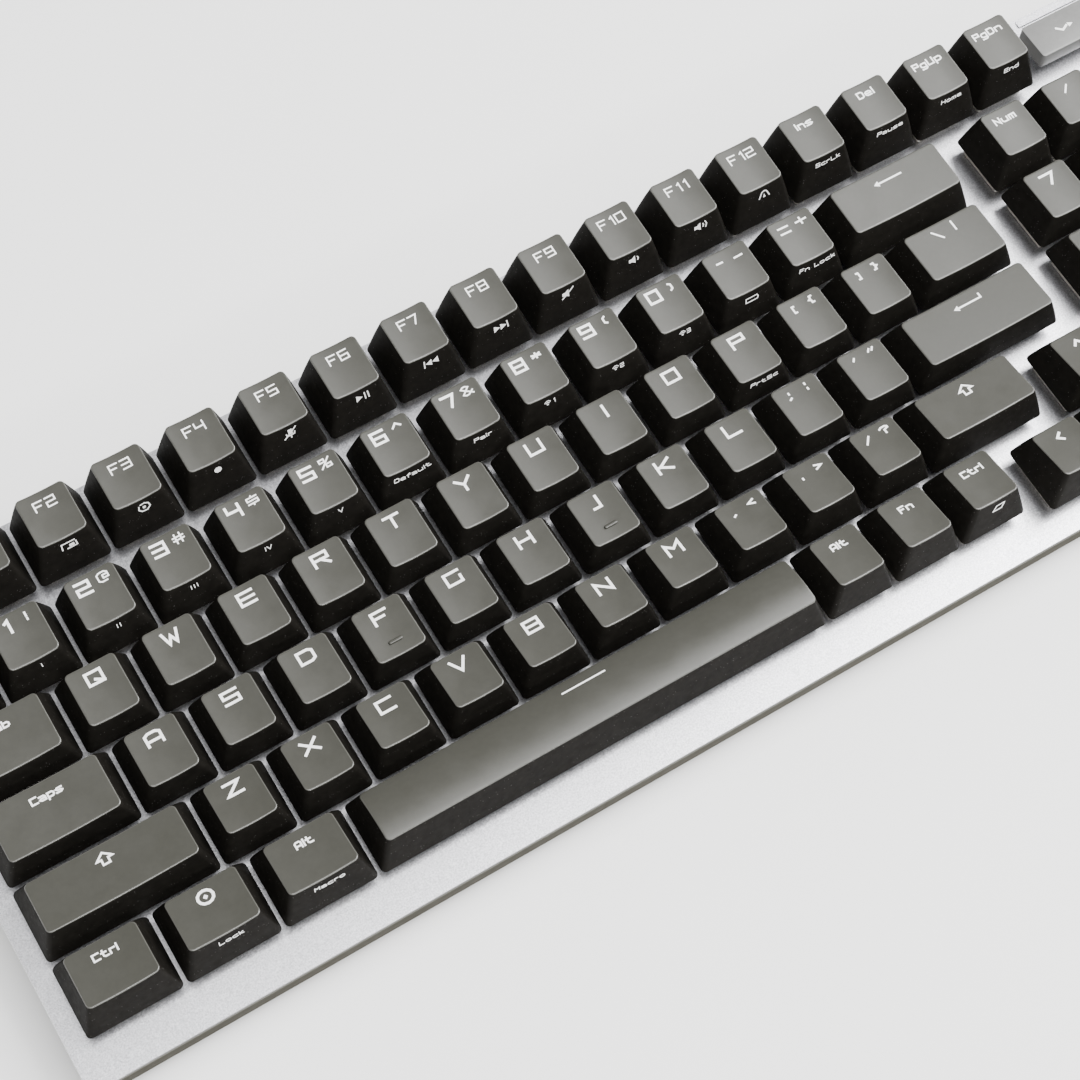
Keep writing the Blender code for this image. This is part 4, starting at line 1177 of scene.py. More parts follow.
def carve(item, cutters, smooth=35.0):
    """Cut closed bodies out of a piece; each cutter is a bmesh in the frame of its matrix."""
    for number, (mesh, place) in enumerate(cutters):
        data = bpy.data.meshes.new(f"{item.name}_cut_{number}")
        bmesh.ops.recalc_face_normals(mesh, faces=mesh.faces)
        mesh.to_mesh(data)
        mesh.free()
        data.transform(place)
        cutter = bpy.data.objects.new(data.name, data)
        bpy.context.scene.collection.objects.link(cutter)
        modifier = item.modifiers.new(cutter.name, "BOOLEAN")
        modifier.operation = "DIFFERENCE"
        modifier.solver = "EXACT"
        modifier.object = cutter
    graph = bpy.context.evaluated_depsgraph_get()
    carved = bpy.data.meshes.new_from_object(item.evaluated_get(graph))
    for modifier in list(item.modifiers):
        bpy.data.objects.remove(modifier.object, do_unlink=True)
    item.modifiers.clear()
    item.data = carved
    carved.shade_smooth()
    carved.set_sharp_from_angle(angle=math.radians(smooth))


def add_block(mesh, low, high):
    """Plain closed block between two corners, for cutting."""
    corners = [[mesh.verts.new((x, y, z)) for x, y in
                ((low[0], low[1]), (high[0], low[1]), (high[0], high[1]), (low[0], high[1]))]
               for z in (low[2], high[2])]
    mesh.faces.new(corners[0])
    mesh.faces.new(corners[1])
    bridge(mesh, corners[0], corners[1])


def add_sleeve(mesh, center, outer, bore, corner, bore_corner):
    """Body with a blind bore from above; outer and bore list (half_x, half_y, height)."""
    counts = outline_counts(outer[0][0], outer[0][1], corner)
    previous = None
    for group, radius in ((outer, corner), (bore, bore_corner)):
        for half_x, half_y, height in group:
            outline = rounded_outline(half_x, half_y, min(radius, half_x, half_y), counts)
            ring = add_ring(mesh, [(center[0] + x, center[1] + y, height) for x, y in outline])
            if previous is None:
                mesh.faces.new(ring)
            else:
                bridge(mesh, previous, ring)
            previous = ring
    mesh.faces.new(previous)


def build_switches(keys):
    """Clear switch tops above the plate, dark bases below it, and the stabiliser housings."""
    tops = bmesh.new()
    bases = bmesh.new()
    stabilisers = bmesh.new()
    for key in keys.values():
        center = (key.x, key.y)
        flange = HOUSING_FLANGE_HALF
        shoulder = flange - 0.0004
        outer = [(flange, flange, CLEARANCE), (flange, flange, 0.0010), (shoulder, shoulder, 0.0013),
                 (HOUSING_TOP_HALF + 0.0003, HOUSING_TOP_HALF + 0.0003, HOUSING_TOP - 0.0006),
                 (HOUSING_TOP_HALF - 0.0003, HOUSING_TOP_HALF - 0.0003, HOUSING_TOP)]
        bore = [(HOUSING_BORE_HALF, HOUSING_BORE_HALF, HOUSING_TOP),
                (HOUSING_BORE_HALF, HOUSING_BORE_HALF, CLEARANCE + 0.0002)]
        add_sleeve(tops, center, outer, bore, 0.0007, 0.0031)
        body = HOUSING_BODY_HALF
        root = BOARD_TOP + CLEARANCE
        outer = [(body - 0.0004, body - 0.0004, root), (body, body, root + 0.0004),
                 (body, body, CLEARANCE - 0.0001)]
        bore = [(HOUSING_BORE_HALF, HOUSING_BORE_HALF, CLEARANCE - 0.0001),
                (HOUSING_BORE_HALF, HOUSING_BORE_HALF, -0.0008)]
        add_sleeve(bases, center, outer, bore, 0.0005, 0.0031)
        half_x, half_y = STABILISER_HALF
        if key.tall:
            half_x, half_y = half_y, half_x
        for place in stabiliser_places(key):
            outer = [(half_x, half_y, root), (half_x, half_y, STABILISER_TOP - 0.0005),
                     (half_x - 0.0004, half_y - 0.0004, STABILISER_TOP)]
            bore = [(STABILISER_BORE_HALF, STABILISER_BORE_HALF, STABILISER_TOP),
                    (STABILISER_BORE_HALF, STABILISER_BORE_HALF, -0.0028)]
            add_sleeve(stabilisers, place, outer, bore, 0.0006, 0.0008)
    board = "switch_board"
    dark = black_plastic_material("housing_black")
    place_piece(make_object("switch_tops", tops, [clear_housing_material()]), CASE, "housing", board)
    place_piece(make_object("switch_bases", bases, [dark]), CASE, "housing", board)
    place_piece(make_object("stabiliser_housings", stabilisers, [dark]), CASE, "housing", board)


def build_board():
    """Circuit board with rounded corners and a milled edge."""
    half_x = PLATE_WIDTH / 2 - BOARD_MARGIN
    half_y = PLATE_DEPTH / 2 - BOARD_MARGIN
    board = bmesh.new()
    bottom = BOARD_TOP - BOARD_THICKNESS
    add_rounded_prism(board, (0, 0), [(half_x, half_y, bottom), (half_x, half_y, BOARD_TOP)], 0.002)
    piece = make_object("circuit_board", board, [board_material()])
    place_piece(piece, CASE, "board", "switch_board")


def hub_outline():
    """Left, right, front and rear of the hub's foot in the deck's frame."""
    return (BLOCK_LEFT + HUB_LEFT, -BLOCK_LEFT, BLOCK_FRONT + HUB_FRONT, BLOCK_FRONT + HUB_REAR)


def roller_center():
    right = hub_outline()[1]
    return (right - HUB_SIDE_LEAN - ROLLER_RIGHT_MARGIN - ROLLER_WIDTH / 2,
            BLOCK_FRONT + ROLLER_MIDDLE)


def build_plate(keys):
    """Blasted plate with a bright cut edge and a square hole for every switch."""
    half_x = PLATE_WIDTH / 2
    half_y = PLATE_DEPTH / 2
    slab = bmesh.new()
    counts = outline_counts(half_x / 4, half_y / 4, PLATE_CORNER_RADIUS)
    rings = []
    for inset, height in ((0.0002, -PLATE_THICKNESS), (0.0, -PLATE_THICKNESS + 0.0002),
                          (0.0, -PLATE_EDGE_BREAK), (PLATE_EDGE_BREAK, 0.0)):
        outline = rounded_outline(half_x - inset, half_y - inset, PLATE_CORNER_RADIUS - inset,
                                  counts)
        rings.append(add_ring(slab, [(x, y, height) for x, y in outline]))
    slab.faces.new(rings[0])
    for number, (lower, upper) in enumerate(zip(rings, rings[1:])):
        bridge(slab, lower, upper, 1 if number == 2 else 2)
    slab.faces.new(rings[-1])
    # Slot 2, the plate's side, is coloured dark as painted shade.
    materials = [plate_material(), chamfer_material(), plate_side_shaded_material()]
    piece = make_object("plate_skin", slab, materials, smooth=25.0)
    holes = bmesh.new()
    half = PLATE_HOLE_HALF
    low_z = -2 * PLATE_THICKNESS
    high_z = PLATE_THICKNESS
    for key in keys.values():
        add_block(holes, (key.x - half, key.y - half, low_z), (key.x + half, key.y + half, high_z))
        slot_x, slot_y = STABILISER_HOLE_HALF
        if key.tall:
            slot_x, slot_y = slot_y, slot_x
        for x, y in stabiliser_places(key):
            add_block(holes, (x - slot_x, y - slot_y, low_z), (x + slot_x, y + slot_y, high_z))
    x, y = roller_center()
    slot_x = ROLLER_WIDTH / 2 + SLOT_CLEARANCE
    slot_y = ROLLER_RADIUS + SLOT_CLEARANCE
    add_block(holes, (x - slot_x, y - slot_y, low_z), (x + slot_x, y + slot_y, high_z))
    carve(piece, [(holes, DECK)], 25.0)
    place_piece(piece, CASE, "plate", "top_plate")


def build_pad():
    """Foam sheet under the board."""
    top = BOARD_TOP - BOARD_THICKNESS - CLEARANCE
    low = Vector((-PLATE_WIDTH / 2 + 0.004, -PLATE_DEPTH / 2 + 0.004, top - PAD_THICKNESS))
    high = Vector((PLATE_WIDTH / 2 - 0.004, PLATE_DEPTH / 2 - 0.014, top))
    half = (high - low) / 2
    center = (low + high) / 2
    sheet = bmesh.new()
    edge = 0.0003
    add_rounded_prism(sheet, center, [(half.x - edge, half.y - edge, low.z),
                                      (half.x, half.y, low.z + edge), (half.x, half.y, high.z - edge),
                                      (half.x - edge, half.y - edge, high.z)], 0.003)
    place_piece(make_object("foam_sheet", sheet, [foam_material()]), CASE, "foam", "sound_pad")


def add_tube(mesh, path, radius, steps=14):
    """Round tube along a path of points, with closed ends."""
    previous = None
    side = None
    for index, here in enumerate(path):
        before = path[max(0, index - 1)]
        after = path[min(len(path) - 1, index + 1)]
        along = (after - before).normalized()
        guess = side or (Vector((0, 0, 1)) if abs(along.z) < 0.9 else Vector((1, 0, 0)))
        side = (guess - along * guess.dot(along)).normalized()
        other = along.cross(side)
        ring = []
        for step in range(steps):
            angle = 2 * math.pi * step / steps
            ring.append(here + (side * math.cos(angle) + other * math.sin(angle)) * radius)
        ring = add_ring(mesh, ring)
        if previous is None:
            mesh.faces.new(ring)
        else:
            bridge(mesh, previous, ring)
        previous = ring
    mesh.faces.new(previous)


def rounded_path(corners, radius, steps=6):
    """Path through corners, each turned on a curve that starts a radius before it."""
    path = [corners[0]]
    for before, here, after in zip(corners, corners[1:], corners[2:]):
        start = here + (before - here).normalized() * radius
        end = here + (after - here).normalized() * radius
        for step in range(steps + 1):
            share = step / steps
            path.append(start * (1 - share) ** 2 + here * 2 * share * (1 - share) + end * share ** 2)
    path.append(corners[-1])
    return path


def build_space_wire(space):
    """Bent steel wire of the space bar, with rounded bends."""
    reach = WIRE_LEG_LENGTH * math.cos(WIRE_LEG_ANGLE)
    rise = WIRE_LEG_LENGTH * math.sin(WIRE_LEG_ANGLE)
    y = space.y + WIRE_AXIS_OFFSET
    corners = [Vector((space.x + side * WIRE_LEG_OFFSET, y + along * reach,
                       WIRE_AXIS_HEIGHT + along * rise))
               for side, along in ((-1, 1), (-1, 0), (1, 0), (1, 1))]
    wire = bmesh.new()
    add_tube(wire, rounded_path(corners, 0.0016), WIRE_RADIUS * 0.97)
    piece = make_object("space_wire", wire, [metal_material("wire_steel", (0.60, 0.60, 0.61), 0.28)])
    place_piece(piece, "space_stabiliser_wire", "steel", "space_stabiliser_wire")


# --- media hub --------------------------------------------------------------------------------

def build_hub():
    """Black housing with softened edges, a well for the button and a slot for the roller."""
    left, right, front, rear = hub_outline()
    counts = outline_counts((right - left) / 4, (rear - front) / 2, 0.0012)
    block = bmesh.new()
    previous = None
    edge = 0.0005
    for share, inset, height in ((0.0, 0.0, CLEARANCE), (0.35, 0.0, 0.0), (0.7, 0.0, 0.0),
                                 (0.93, 0.0, 0.0), (0.98, 0.00012, 0.0),
                                 (1.0, edge, HUB_HEIGHT)):
        z = height or lerp(CLEARANCE, HUB_HEIGHT, share)
        low_x = left + HUB_SIDE_LEAN * share + inset
        high_x = right - HUB_SIDE_LEAN * share - inset
        low_y = front + HUB_FRONT_LEAN * share + inset
        high_y = rear - HUB_REAR_LEAN * share - inset
        outline = rounded_outline((high_x - low_x) / 2, (high_y - low_y) / 2, 0.0012 - inset, counts)
        middle = ((low_x + high_x) / 2, (low_y + high_y) / 2)
        ring = add_ring(block, [(middle[0] + x, middle[1] + y, z) for x, y in outline])
        if previous is None:
            block.faces.new(ring)
        else:
            bridge(block, previous, ring)
        previous = ring
    block.faces.new(previous)
    piece = make_object("hub_housing", block, [black_plastic_material("hub_black", gloss=0.15)])
    wells = bmesh.new()
    low, high = button_corners()
    gap = CLEARANCE
    add_block(wells, (low.x - gap, low.y - gap, low.z - BUTTON_TRAVEL - gap),
              (high.x + gap, high.y + gap, 2 * HUB_HEIGHT))
    x, y = roller_center()
    slot_x = ROLLER_WIDTH / 2 + SLOT_CLEARANCE
    slot_y = ROLLER_RADIUS + SLOT_CLEARANCE
    add_block(wells, (x - slot_x, y - slot_y, -HUB_HEIGHT), (x + slot_x, y + slot_y, 2 * HUB_HEIGHT))
    trim_front = high.y + gap + HUB_TRIM_GAP
    trim_low = Vector((left + HUB_SIDE_LEAN + BUTTON_RIM, trim_front, HUB_HEIGHT - HUB_TRIM_DEPTH))
    trim_high = Vector((right - HUB_SIDE_LEAN - BUTTON_RIM, rear - HUB_REAR_LEAN - 0.0006, HUB_HEIGHT))
    add_block(wells, trim_low, (trim_high.x, trim_high.y, 2 * HUB_HEIGHT))
    carve(piece, [(wells, DECK)])
    place_piece(piece, CASE, "hub", "control_hub")
    half = (trim_high - trim_low) / 2 - Vector((0.00004, 0.00004, 0))
    soft = 0.0001
    strip = bmesh.new()
    add_rounded_prism(strip, (trim_low + trim_high) / 2, [
        (half.x, half.y, trim_low.z + 0.00004), (half.x, half.y, HUB_HEIGHT - soft),
        (half.x - soft, half.y - soft, HUB_HEIGHT)], 0.0004)
    piece = make_object("hub_trim", strip, [bpy.data.materials["blasted_aluminium"]])
    place_piece(piece, CASE, "plate", "control_hub")


def button_corners():
    """Low and high corner of the media button in the deck's frame."""
    left, _, front, rear = hub_outline()
    low_x = left + HUB_SIDE_LEAN + BUTTON_RIM
    return (Vector((low_x, front + HUB_FRONT_LEAN + BUTTON_RIM, HUB_HEIGHT - BUTTON_DEPTH)),
            Vector((low_x + BUTTON_WIDTH, rear - HUB_REAR_LEAN - BUTTON_REAR_RIM,
                    HUB_HEIGHT + BUTTON_PROUD)))


def build_media_button():
    low, high = button_corners()
    half = (high - low) / 2
    center = (low + high) / 2
    face = bmesh.new()
    edge = 0.00025
    add_rounded_prism(face, center, [(half.x, half.y, low.z), (half.x, half.y, high.z - edge),
                                     (half.x - edge * 0.3, half.y - edge * 0.3, high.z - edge * 0.3),
                                     (half.x - edge, half.y - edge, high.z)], 0.0009)
    piece = make_object("button_cap", face, [button_face_material()])
    place_piece(piece, "media_button", "button_face", "media_button")
    mark = bmesh.new()

    def lift(point):
        place = Vector((center.x + point[0], center.y + point[1], high.z))
        return place - Vector((0, 0, LEGEND_SUNK)), place + Vector((0, 0, LEGEND_PROUD))

    add_icon(mark, HUB_MARK, lift, 0.0006)
    # The mark uses the legends' white print, whose faint emission is a painted glow.
    piece = make_object("button_mark", mark, [bpy.data.materials["legend_white"]])
    place_piece(piece, "media_button", "legend", "media_button")


def build_roller():
    """Knurled wheel with dished ends and a plain groove around its middle."""
    x, y = roller_center()
    steps = ROLLER_RIBS * 4
    half = ROLLER_WIDTH / 2
    wheel = bmesh.new()
    previous = None
    low = ROLLER_RADIUS - ROLLER_RIB_DEPTH
    stations = [(-half + 0.0006, low * 0.72, 0), (-half, low * 0.78, 0), (-half, low - 0.0005, 0),
                (-half + 0.0004, low, 0.0), (-half + 0.0007, low, 1), (-0.0006, low, 1),
                (-0.0004, low - 0.0002, 0), (0.0004, low - 0.0002, 0), (0.0006, low, 1),
                (half - 0.0007, low, 1), (half - 0.0004, low, 0), (half, low - 0.0005, 0),
                (half, low * 0.78, 0), (half - 0.0006, low * 0.72, 0)]
    for offset, radius, ribbed in stations:
        points = []
        for step in range(steps):
            angle = 2 * math.pi * step / steps
            rise = ROLLER_RIB_DEPTH * (0.0, 0.7, 1.0, 0.7)[step % 4] if ribbed else 0.0
            points.append((x + offset, y + (radius + rise) * math.cos(angle),
                           ROLLER_HEIGHT + (radius + rise) * math.sin(angle)))
        ring = add_ring(wheel, points)
        if previous is None:
            wheel.faces.new(ring)
        else:
            bridge(wheel, previous, ring)
        previous = ring
    wheel.faces.new(previous)
    metal = metal_material("roller_aluminium", (0.30, 0.30, 0.30), 0.34, (1.0, 0.05, 0.05))
    piece = make_object("roller_wheel", wheel, [metal], smooth=30.0)
    place_piece(piece, "volume_roller", "roller", "volume_roller")


# --- case -------------------------------------------------------------------------------------

def rim_height(y, depth):
    """World height of the plane that lies a depth below the plate's upper face."""
    origin = DECK.translation
    tilt = DECK.to_euler().x
    along = (y - origin.y - depth * math.sin(tilt)) / math.cos(tilt)
    return origin.z + along * math.sin(tilt) - depth * math.cos(tilt)


def case_extent(inset):
    """Half width, front and rear of the case's wall in world coordinates."""
    edge = PLATE_DEPTH / 2 - CASE_INSET - inset
    rim = -PLATE_THICKNESS - CLEARANCE
    front = (DECK @ Vector((0, -edge, rim))).y
    rear = (DECK @ Vector((0, edge, rim))).y
    return PLATE_WIDTH / 2 - CASE_INSET - inset, front, rear


def add_case_shell(mesh):
    """Tray: chamfered floor, upright walls with rounded corners and a sloping rim."""
    rim = PLATE_THICKNESS + CLEARANCE
    run, rise = CASE_CHAMFER
    floor = CASE_BOTTOM + CASE_FLOOR
    lip = 0.0003
    outside = [(run + 0.0006, CASE_BOTTOM, None), (run - 0.0004, CASE_BOTTOM + 0.00035, None),
               (0.0004, CASE_BOTTOM + rise - 0.0004, None), (0.0, CASE_BOTTOM + rise + 0.0005, None),
               (0.0, None, rim + lip), (lip, None, rim)]
    inside = [(CASE_WALL - lip, None, rim), (CASE_WALL, None, rim + lip),
              (CASE_WALL, floor + 0.0015, None), (CASE_WALL + 0.0015, floor, None)]
    counts = (60, 24)
    previous = None
    for inset, level, depth in outside + inside:
        half_x, front, rear = case_extent(inset)
        corner = max(0.0008, PLATE_CORNER_RADIUS - inset)
        middle = (front + rear) / 2
        points = []
        for x, y in rounded_outline(half_x, (rear - front) / 2, corner, counts):
            height = level if depth is None else rim_height(middle + y, depth)
            points.append((x, middle + y, height))
        ring = add_ring(mesh, points)
        if previous is None:
            mesh.faces.new(ring)
        else:
            bridge(mesh, previous, ring)
        previous = ring
    mesh.faces.new(previous)


def foot_pocket(side):
    """Low and high corner of the pocket that holds a folded foot."""
    width, length, thickness = FOOT_SIZE
    x = side * FOOT_X
    room = SLOT_CLEARANCE
    return (Vector((x - width / 2 - room, FOOT_AXIS_Y - length - room, 0.0)),
            Vector((x + width / 2 + room, FOOT_AXIS_Y + FOOT_BARREL_RADIUS + room,
                    CASE_BOTTOM + thickness + room)))


def screw_places():
    return [(x, y) for y in SCREW_ROWS for x in SCREW_COLUMNS]


def build_case():
    """Moulded tray with foot pockets, screw recesses, a blank label panel and rear openings."""
    shell = bmesh.new()
    add_case_shell(shell)
    piece = make_object("case_tray", shell, [case_shaded_material()], Matrix.Identity(4))
    under = bmesh.new()
    for side in (-1, 1):
        low, high = foot_pocket(side)
        center = (low + high) / 2
        half = (high - low) / 2
        top = min(high.z, CASE_BOTTOM + POCKET_DEPTH)
        add_rounded_prism(under, center, [(half.x + 0.0004, half.y + 0.0004, -0.001),
                                          (half.x + 0.0004, half.y + 0.0004, CASE_BOTTOM),
                                          (half.x, half.y, CASE_BOTTOM + 0.0004),
                                          (half.x, half.y, top)], 0.0015)
    for x, y in screw_places():
        add_rounded_prism(under, (x, y), [(0.0030, 0.0030, -0.001), (0.0030, 0.0030, CASE_BOTTOM + 0.0002),
                                          (0.0027, 0.0027, CASE_BOTTOM + SCREW_RECESS)], 0.0027)
    add_rounded_prism(under, (0.0, LABEL_Y), [(0.0330, 0.0130, -0.001), (0.0330, 0.0130, CASE_BOTTOM),
                                              (0.0327, 0.0127, CASE_BOTTOM + 0.0003)], 0.002)
    rear = bmesh.new()
    middle = socket_height()
    wall_y = PLATE_DEPTH / 2
    for x, half_x, half_z in ((SOCKET_X, SOCKET_OUTER[0] / 2 + 0.0005, SOCKET_OUTER[2] / 2 + 0.0005),
                              (SWITCH_X, SWITCH_KNOB[0] / 2 + SWITCH_TRAVEL + 0.0005,
                               SWITCH_KNOB[2] / 2 + 0.0005)):
        add_wall_cut(rear, (x, middle), half_x, half_z, wall_y - 0.004, wall_y + 0.004)
    carve(piece, [(under, Matrix.Identity(4)), (rear, DECK)], 30.0)
    place_piece(piece, CASE, "case", "bottom_case")


def add_wall_cut(mesh, center, half_x, half_z, start_y, end_y):
    """Closed cutter with a rounded outline, along Y."""
    corner = min(half_x, half_z) * 0.6
    outline = rounded_outline(half_x, half_z, corner, (6, 3))
    rings = [add_ring(mesh, [(center[0] + x, y, center[1] + z) for x, z in outline])
             for y in (start_y, end_y)]
    mesh.faces.new(rings[0])
    mesh.faces.new(rings[1])
    bridge(mesh, rings[0], rings[1])


def build_pocket_linings():
    """Thin walls inside the case that close the foot pockets."""
    linings = bmesh.new()
    for side in (-1, 1):
        low, high = foot_pocket(side)
        center = (low + high) / 2
        half = (high - low) / 2
        wall = 0.0012
        outer = [(half.x + wall, half.y + wall, CASE_BOTTOM + CASE_FLOOR + 0.0001),
                 (half.x + wall, half.y + wall, high.z + wall)]
        inner = [(half.x, half.y, high.z), (half.x, half.y, CASE_BOTTOM + CASE_FLOOR + 0.0001)]
        counts = outline_counts(half.x, half.y, 0.0015)
        rings = []
        for half_x, half_y, height in outer + inner:
            outline = rounded_outline(half_x, half_y, 0.0015, counts)
            rings.append(add_ring(linings, [(center.x + x, center.y + y, height) for x, y in outline]))
        bridge(linings, rings[0], rings[1])
        linings.faces.new(rings[1])
        linings.faces.new(rings[2])
        bridge(linings, rings[2], rings[3])
        bridge(linings, rings[3], rings[0])
    piece = make_object("foot_pockets", linings, [bpy.data.materials["case_plastic"]],
                        Matrix.Identity(4))
    place_piece(piece, CASE, "case", "bottom_case")


def build_screws():
    """Countersunk screws with a cross recess, in the underside."""
    heads = bmesh.new()
    steps = 24
    for x, y in screw_places():
        top = CASE_BOTTOM + SCREW_RECESS - 0.0001
        previous = None
        for radius, height in ((0.0016, top - 0.0007), (0.0021, top - 0.0006), (0.0024, top - 0.0003),
                               (0.0024, top)):
            ring = add_ring(heads, [(x + radius * math.cos(2 * math.pi * step / steps),
                                     y + radius * math.sin(2 * math.pi * step / steps), height)
                                    for step in range(steps)])
            if previous is None:
                heads.faces.new(ring)
            else:
                bridge(heads, previous, ring)
            previous = ring
        heads.faces.new(previous)
    steel = metal_material("screw_steel", (0.16, 0.16, 0.165), 0.35)
    piece = make_object("case_screws", heads, [steel], Matrix.Identity(4))
    crosses = bmesh.new()
    for x, y in screw_places():
        top = CASE_BOTTOM + SCREW_RECESS
        long, thin = SCREW_CROSS_HALF
        outline = [(thin, thin), (thin, long), (-thin, long), (-thin, thin),
                   (-long, thin), (-long, -thin), (-thin, -thin), (-thin, -long),
                   (thin, -long), (thin, -thin), (long, -thin), (long, thin)]
        low = add_ring(crosses, [(x + side, y + ahead, top - 0.0020) for side, ahead in outline])
        high = add_ring(crosses, [(x + side, y + ahead, top - 0.0004) for side, ahead in outline])
        crosses.faces.new(low)
        crosses.faces.new(high)
        bridge(crosses, low, high)
    carve(piece, [(crosses, Matrix.Identity(4))])
    place_piece(piece, CASE, "steel", "bottom_case")


def socket_height():
    """Middle of the rear socket and of the mode switch, below the board."""
    return BOARD_TOP - BOARD_THICKNESS - SOCKET_DROP


def build_socket():
    """Rolled metal shell of the charging socket, with its contact tongue."""
    middle = socket_height()
    width, length, height = SOCKET_OUTER
    rear = PLATE_DEPTH / 2 - CASE_INSET - 0.0004
    counts = (8, 2)
    shell = bmesh.new()
    previous = None
    wall = SOCKET_WALL
    for inset, y in ((0.0, rear - length), (0.0, rear - 0.0001), (0.0001, rear), (wall - 0.0001, rear),
                     (wall, rear - 0.0001), (wall, rear - length + wall)):
        half_x = width / 2 - inset
        half_z = height / 2 - inset
        outline = rounded_outline(half_x, half_z, half_z * 0.95, counts)
        ring = add_ring(shell, [(SOCKET_X + x, y, middle + z) for x, z in outline])
        if previous is None:
            shell.faces.new(ring)
        else:
            bridge(shell, previous, ring)
        previous = ring
    shell.faces.new(previous)
    steel = metal_material("socket_steel", (0.55, 0.55, 0.56), 0.26)
    piece = make_object("socket_shell", shell, [steel])
    place_piece(piece, CASE, "steel", "usb_c_socket")
    tongue = bmesh.new()
    width, length_in, height = SOCKET_TONGUE
    start = rear - length + wall + 0.0001
    add_wall_cut(tongue, (SOCKET_X, middle), width / 2, height / 2, start, start + length_in)
    piece = make_object("socket_tongue", tongue, [black_plastic_material("tongue_black")])
    place_piece(piece, CASE, "housing", "usb_c_socket")


def build_mode_switch():
    """Sliding knob with three grip ribs on its rear face."""
    middle = socket_height()
    width, length, height = SWITCH_KNOB
    rear = PLATE_DEPTH / 2 - CASE_INSET - 0.0004
    half_x = width / 2
    half_z = height / 2
    knob = bmesh.new()
    rings = []
    for inset, y in ((0.0, rear - length), (0.0, rear - 0.0006), (0.00025, rear - 0.00045)):
        outline = rounded_outline(half_x - inset, half_z - inset, 0.0004, (6, 3))
        rings.append(add_ring(knob, [(SWITCH_X + x, y, middle + z) for x, z in outline]))
    knob.faces.new(rings[0])
    bridge(knob, rings[0], rings[1])
    bridge(knob, rings[1], rings[2])
    knob.faces.new(rings[2])
    for offset in (-0.0009, 0.0, 0.0009):
        add_wall_cut(knob, (SWITCH_X + offset, middle), 0.0002, half_z - 0.0004, rear - 0.0006, rear)
    piece = make_object("switch_slider", knob, [black_plastic_material("switch_black", (0.03, 0.03, 0.03))])
    place_piece(piece, "mode_switch", "switch_knob", "mode_switch")


def build_battery():
    """Foil pouch cell with rounded edges."""
    width, depth, height = BATTERY_SIZE
    floor = CASE_BOTTOM + CASE_FLOOR + CLEARANCE
    cell = bmesh.new()
    edge = 0.0012
    add_rounded_prism(cell, (0, BATTERY_CENTRE_Y), [
        (width / 2 - edge, depth / 2 - edge, floor), (width / 2, depth / 2, floor + edge),
        (width / 2, depth / 2, floor + height - edge),
        (width / 2 - edge, depth / 2 - edge, floor + height)], 0.002)
    piece = make_object("battery_pouch", cell, [foil_material()], Matrix.Identity(4))
    place_piece(piece, CASE, "cell_wrap", "battery")


def build_rubber_feet():
    """Ribbed rubber pads glued to the underside."""
    material = rubber_material()
    width, depth = RUBBER_SIZE
    top = CASE_BOTTOM - CLEARANCE
    for row, y in (("front", RUBBER_FRONT_Y), ("rear", RUBBER_REAR_Y)):
        for side, x in (("left", -RUBBER_X), ("right", RUBBER_X)):
            pad = bmesh.new()
            edge = 0.0004
            add_rounded_prism(pad, (x, y), [
                (width / 2 - edge, depth / 2 - edge, 0.0003), (width / 2, depth / 2, 0.0003 + edge),
                (width / 2, depth / 2, top)], 0.0027)
            for rib in (-2, -1, 0, 1, 2):
                add_rounded_prism(pad, (x, y + rib * 0.0011), [
                    (width / 2 - 0.0022, 0.0003, 0.0), (width / 2 - 0.0020, 0.0004, 0.0004)], 0.0003)
            piece = make_object(f"foot_pad_{row}_{side}", pad, [material], Matrix.Identity(4))
            place_piece(piece, CASE, "rubber", f"rubber_foot_{row}_{side}")


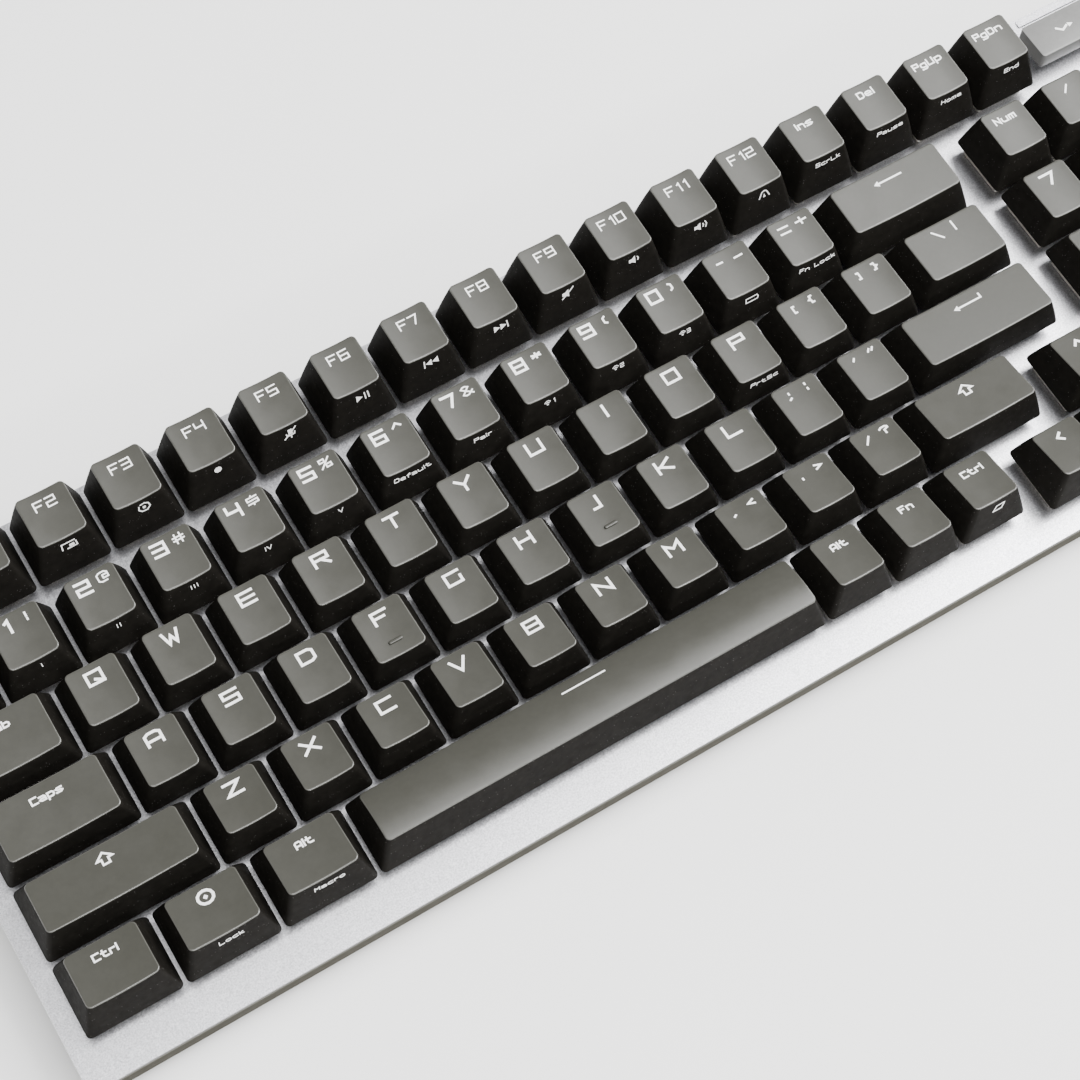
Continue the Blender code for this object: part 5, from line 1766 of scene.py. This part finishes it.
def build_flip_feet():
    """Folding feet: a leaf with a finger notch and a rubber tip, on a round barrel."""
    width, length, thickness = FOOT_SIZE
    plastic = bpy.data.materials["case_plastic"]
    rubber = bpy.data.materials["foot_rubber"]
    axis_z = CASE_BOTTOM + FOOT_BARREL_RADIUS
    for side, sign in (("left", -1), ("right", 1)):
        x = sign * FOOT_X
        leaf = bmesh.new()
        front = FOOT_AXIS_Y - length
        edge = 0.0005
        half_y = (length - 0.0003) / 2
        center = (x, front + half_y)
        half_x = width / 2
        add_rounded_prism(leaf, center, [
            (half_x - edge, half_y - edge, CASE_BOTTOM), (half_x, half_y, CASE_BOTTOM + edge),
            (half_x, half_y, CASE_BOTTOM + thickness - edge),
            (half_x - edge, half_y - edge, CASE_BOTTOM + thickness)], 0.0015)
        piece = make_object(f"foot_leaf_{side}", leaf, [plastic], Matrix.Identity(4))
        notch = bmesh.new()
        add_rounded_prism(notch, (x, front + 0.0045), [
            (0.0065, 0.0022, CASE_BOTTOM - 0.001), (0.0065, 0.0022, CASE_BOTTOM + 0.0002),
            (0.0055, 0.0012, CASE_BOTTOM + 0.0012)], 0.0012)
        carve(piece, [(notch, Matrix.Identity(4))])
        place_piece(piece, f"flip_foot_{side}", "case", f"flip_foot_{side}")
        barrel = bmesh.new()
        half_bar = width / 2 - CLEARANCE
        path = [Vector((x + share * half_bar, FOOT_AXIS_Y, axis_z)) for share in (-1, -0.5, 0, 0.5, 1)]
        add_tube(barrel, path, FOOT_BARREL_RADIUS, 32)
        piece = make_object(f"foot_barrel_{side}", barrel, [plastic], Matrix.Identity(4))
        place_piece(piece, f"flip_foot_{side}", "case", f"flip_foot_{side}")
        tip = bmesh.new()
        add_rounded_prism(tip, (x, front + 0.0011), [
            (half_x - 0.0030, 0.0009, CASE_BOTTOM + 0.0004),
            (half_x - 0.0030, 0.0009, CASE_BOTTOM + thickness - 0.0004)], 0.0008)
        piece = make_object(f"foot_tip_{side}", tip, [rubber], Matrix.Identity(4))
        place_piece(piece, f"flip_foot_{side}", "rubber", f"flip_foot_{side}")


# --- floor, lights and camera -----------------------------------------------------------------

def add_floor(low_z):
    """Pale table top, a flat sheet split into an 8 by 8 grid."""
    sheet = bmesh.new()
    half = 3.0
    bmesh.ops.create_grid(sheet, x_segments=8, y_segments=8, size=half)
    bmesh.ops.translate(sheet, verts=sheet.verts, vec=(0, 0, low_z))
    item = make_object("table_top", sheet, [floor_material()], Matrix.Identity(4))


def add_area_light(name, azimuth, elevation, distance, size, power, color=(1, 1, 1)):
    """Soft light aimed at the keyboard; azimuth runs from +X towards +Y."""
    light = bpy.data.lights.new(name, "AREA")
    light.shape = "RECTANGLE"
    light.size, light.size_y = size
    light.energy = power
    light.color = color
    item = bpy.data.objects.new(name, light)
    around = math.radians(azimuth)
    up = math.radians(elevation)
    item.location = Vector((math.cos(around) * math.cos(up), math.sin(around) * math.cos(up),
                            math.sin(up))) * distance
    item.rotation_euler = (-item.location).to_track_quat("-Z", "Y").to_euler()
    bpy.context.scene.collection.objects.link(item)


def add_lights():
    add_area_light("key_softbox", -10, 52, 1.6, (1.3, 1.0), 50.0)
    add_area_light("top_softbox", -80, 78, 1.8, (2.0, 0.9), 42.0)
    add_area_light("front_softbox", -95, 42, 1.5, (1.2, 0.12), 9.0)
    add_area_light("right_strip", 5, 14, 1.5, (0.9, 0.15), 7.0)
    world = bpy.data.worlds.new("studio")
    world.use_nodes = True
    background = world.node_tree.nodes["Background"]
    background.inputs["Color"].default_value = (1.0, 1.0, 1.0, 1.0)
    background.inputs["Strength"].default_value = 0.55
    bpy.context.scene.world = world


def add_camera():
    """Steep three-quarter view from the typist's left."""
    azimuth = math.radians(CAMERA_AZIMUTH)
    dive = math.radians(CAMERA_DIVE)
    roll = math.radians(CAMERA_ROLL)
    forward = Vector((math.sin(azimuth) * math.cos(dive), math.cos(azimuth) * math.cos(dive),
                      -math.sin(dive)))
    right = forward.cross(Vector((0, 0, 1))).normalized()
    up = right.cross(forward)
    turned_right = right * math.cos(roll) + up * math.sin(roll)
    turned_up = up * math.cos(roll) - right * math.sin(roll)
    rotation = Matrix((turned_right, turned_up, -forward)).transposed().to_4x4()
    place = Vector((BLOCK_LEFT + CAMERA_PLACE[0], BLOCK_FRONT + CAMERA_PLACE[1],
                    RIM_HEIGHT + CAMERA_PLACE[2]))
    data = bpy.data.cameras.new("view")
    data.lens = CAMERA_LENS
    data.sensor_width = 36.0
    data.clip_start = 0.01
    camera = bpy.data.objects.new("view", data)
    camera.matrix_world = DECK @ Matrix.Translation(place) @ rotation
    bpy.context.scene.collection.objects.link(camera)
    bpy.context.scene.camera = camera


def build():
    keys = read_layout()
    build_keys(keys)
    build_switches(keys)
    build_board()
    build_plate(keys)
    build_pad()
    build_space_wire(keys["space"])
    build_hub()
    build_media_button()
    build_roller()
    build_case()
    build_pocket_linings()
    build_screws()
    build_socket()
    build_mode_switch()
    build_battery()
    build_rubber_feet()
    build_flip_feet()
    add_floor(CAD_BOUNDS[0][2])
    add_lights()
    add_camera()


build()
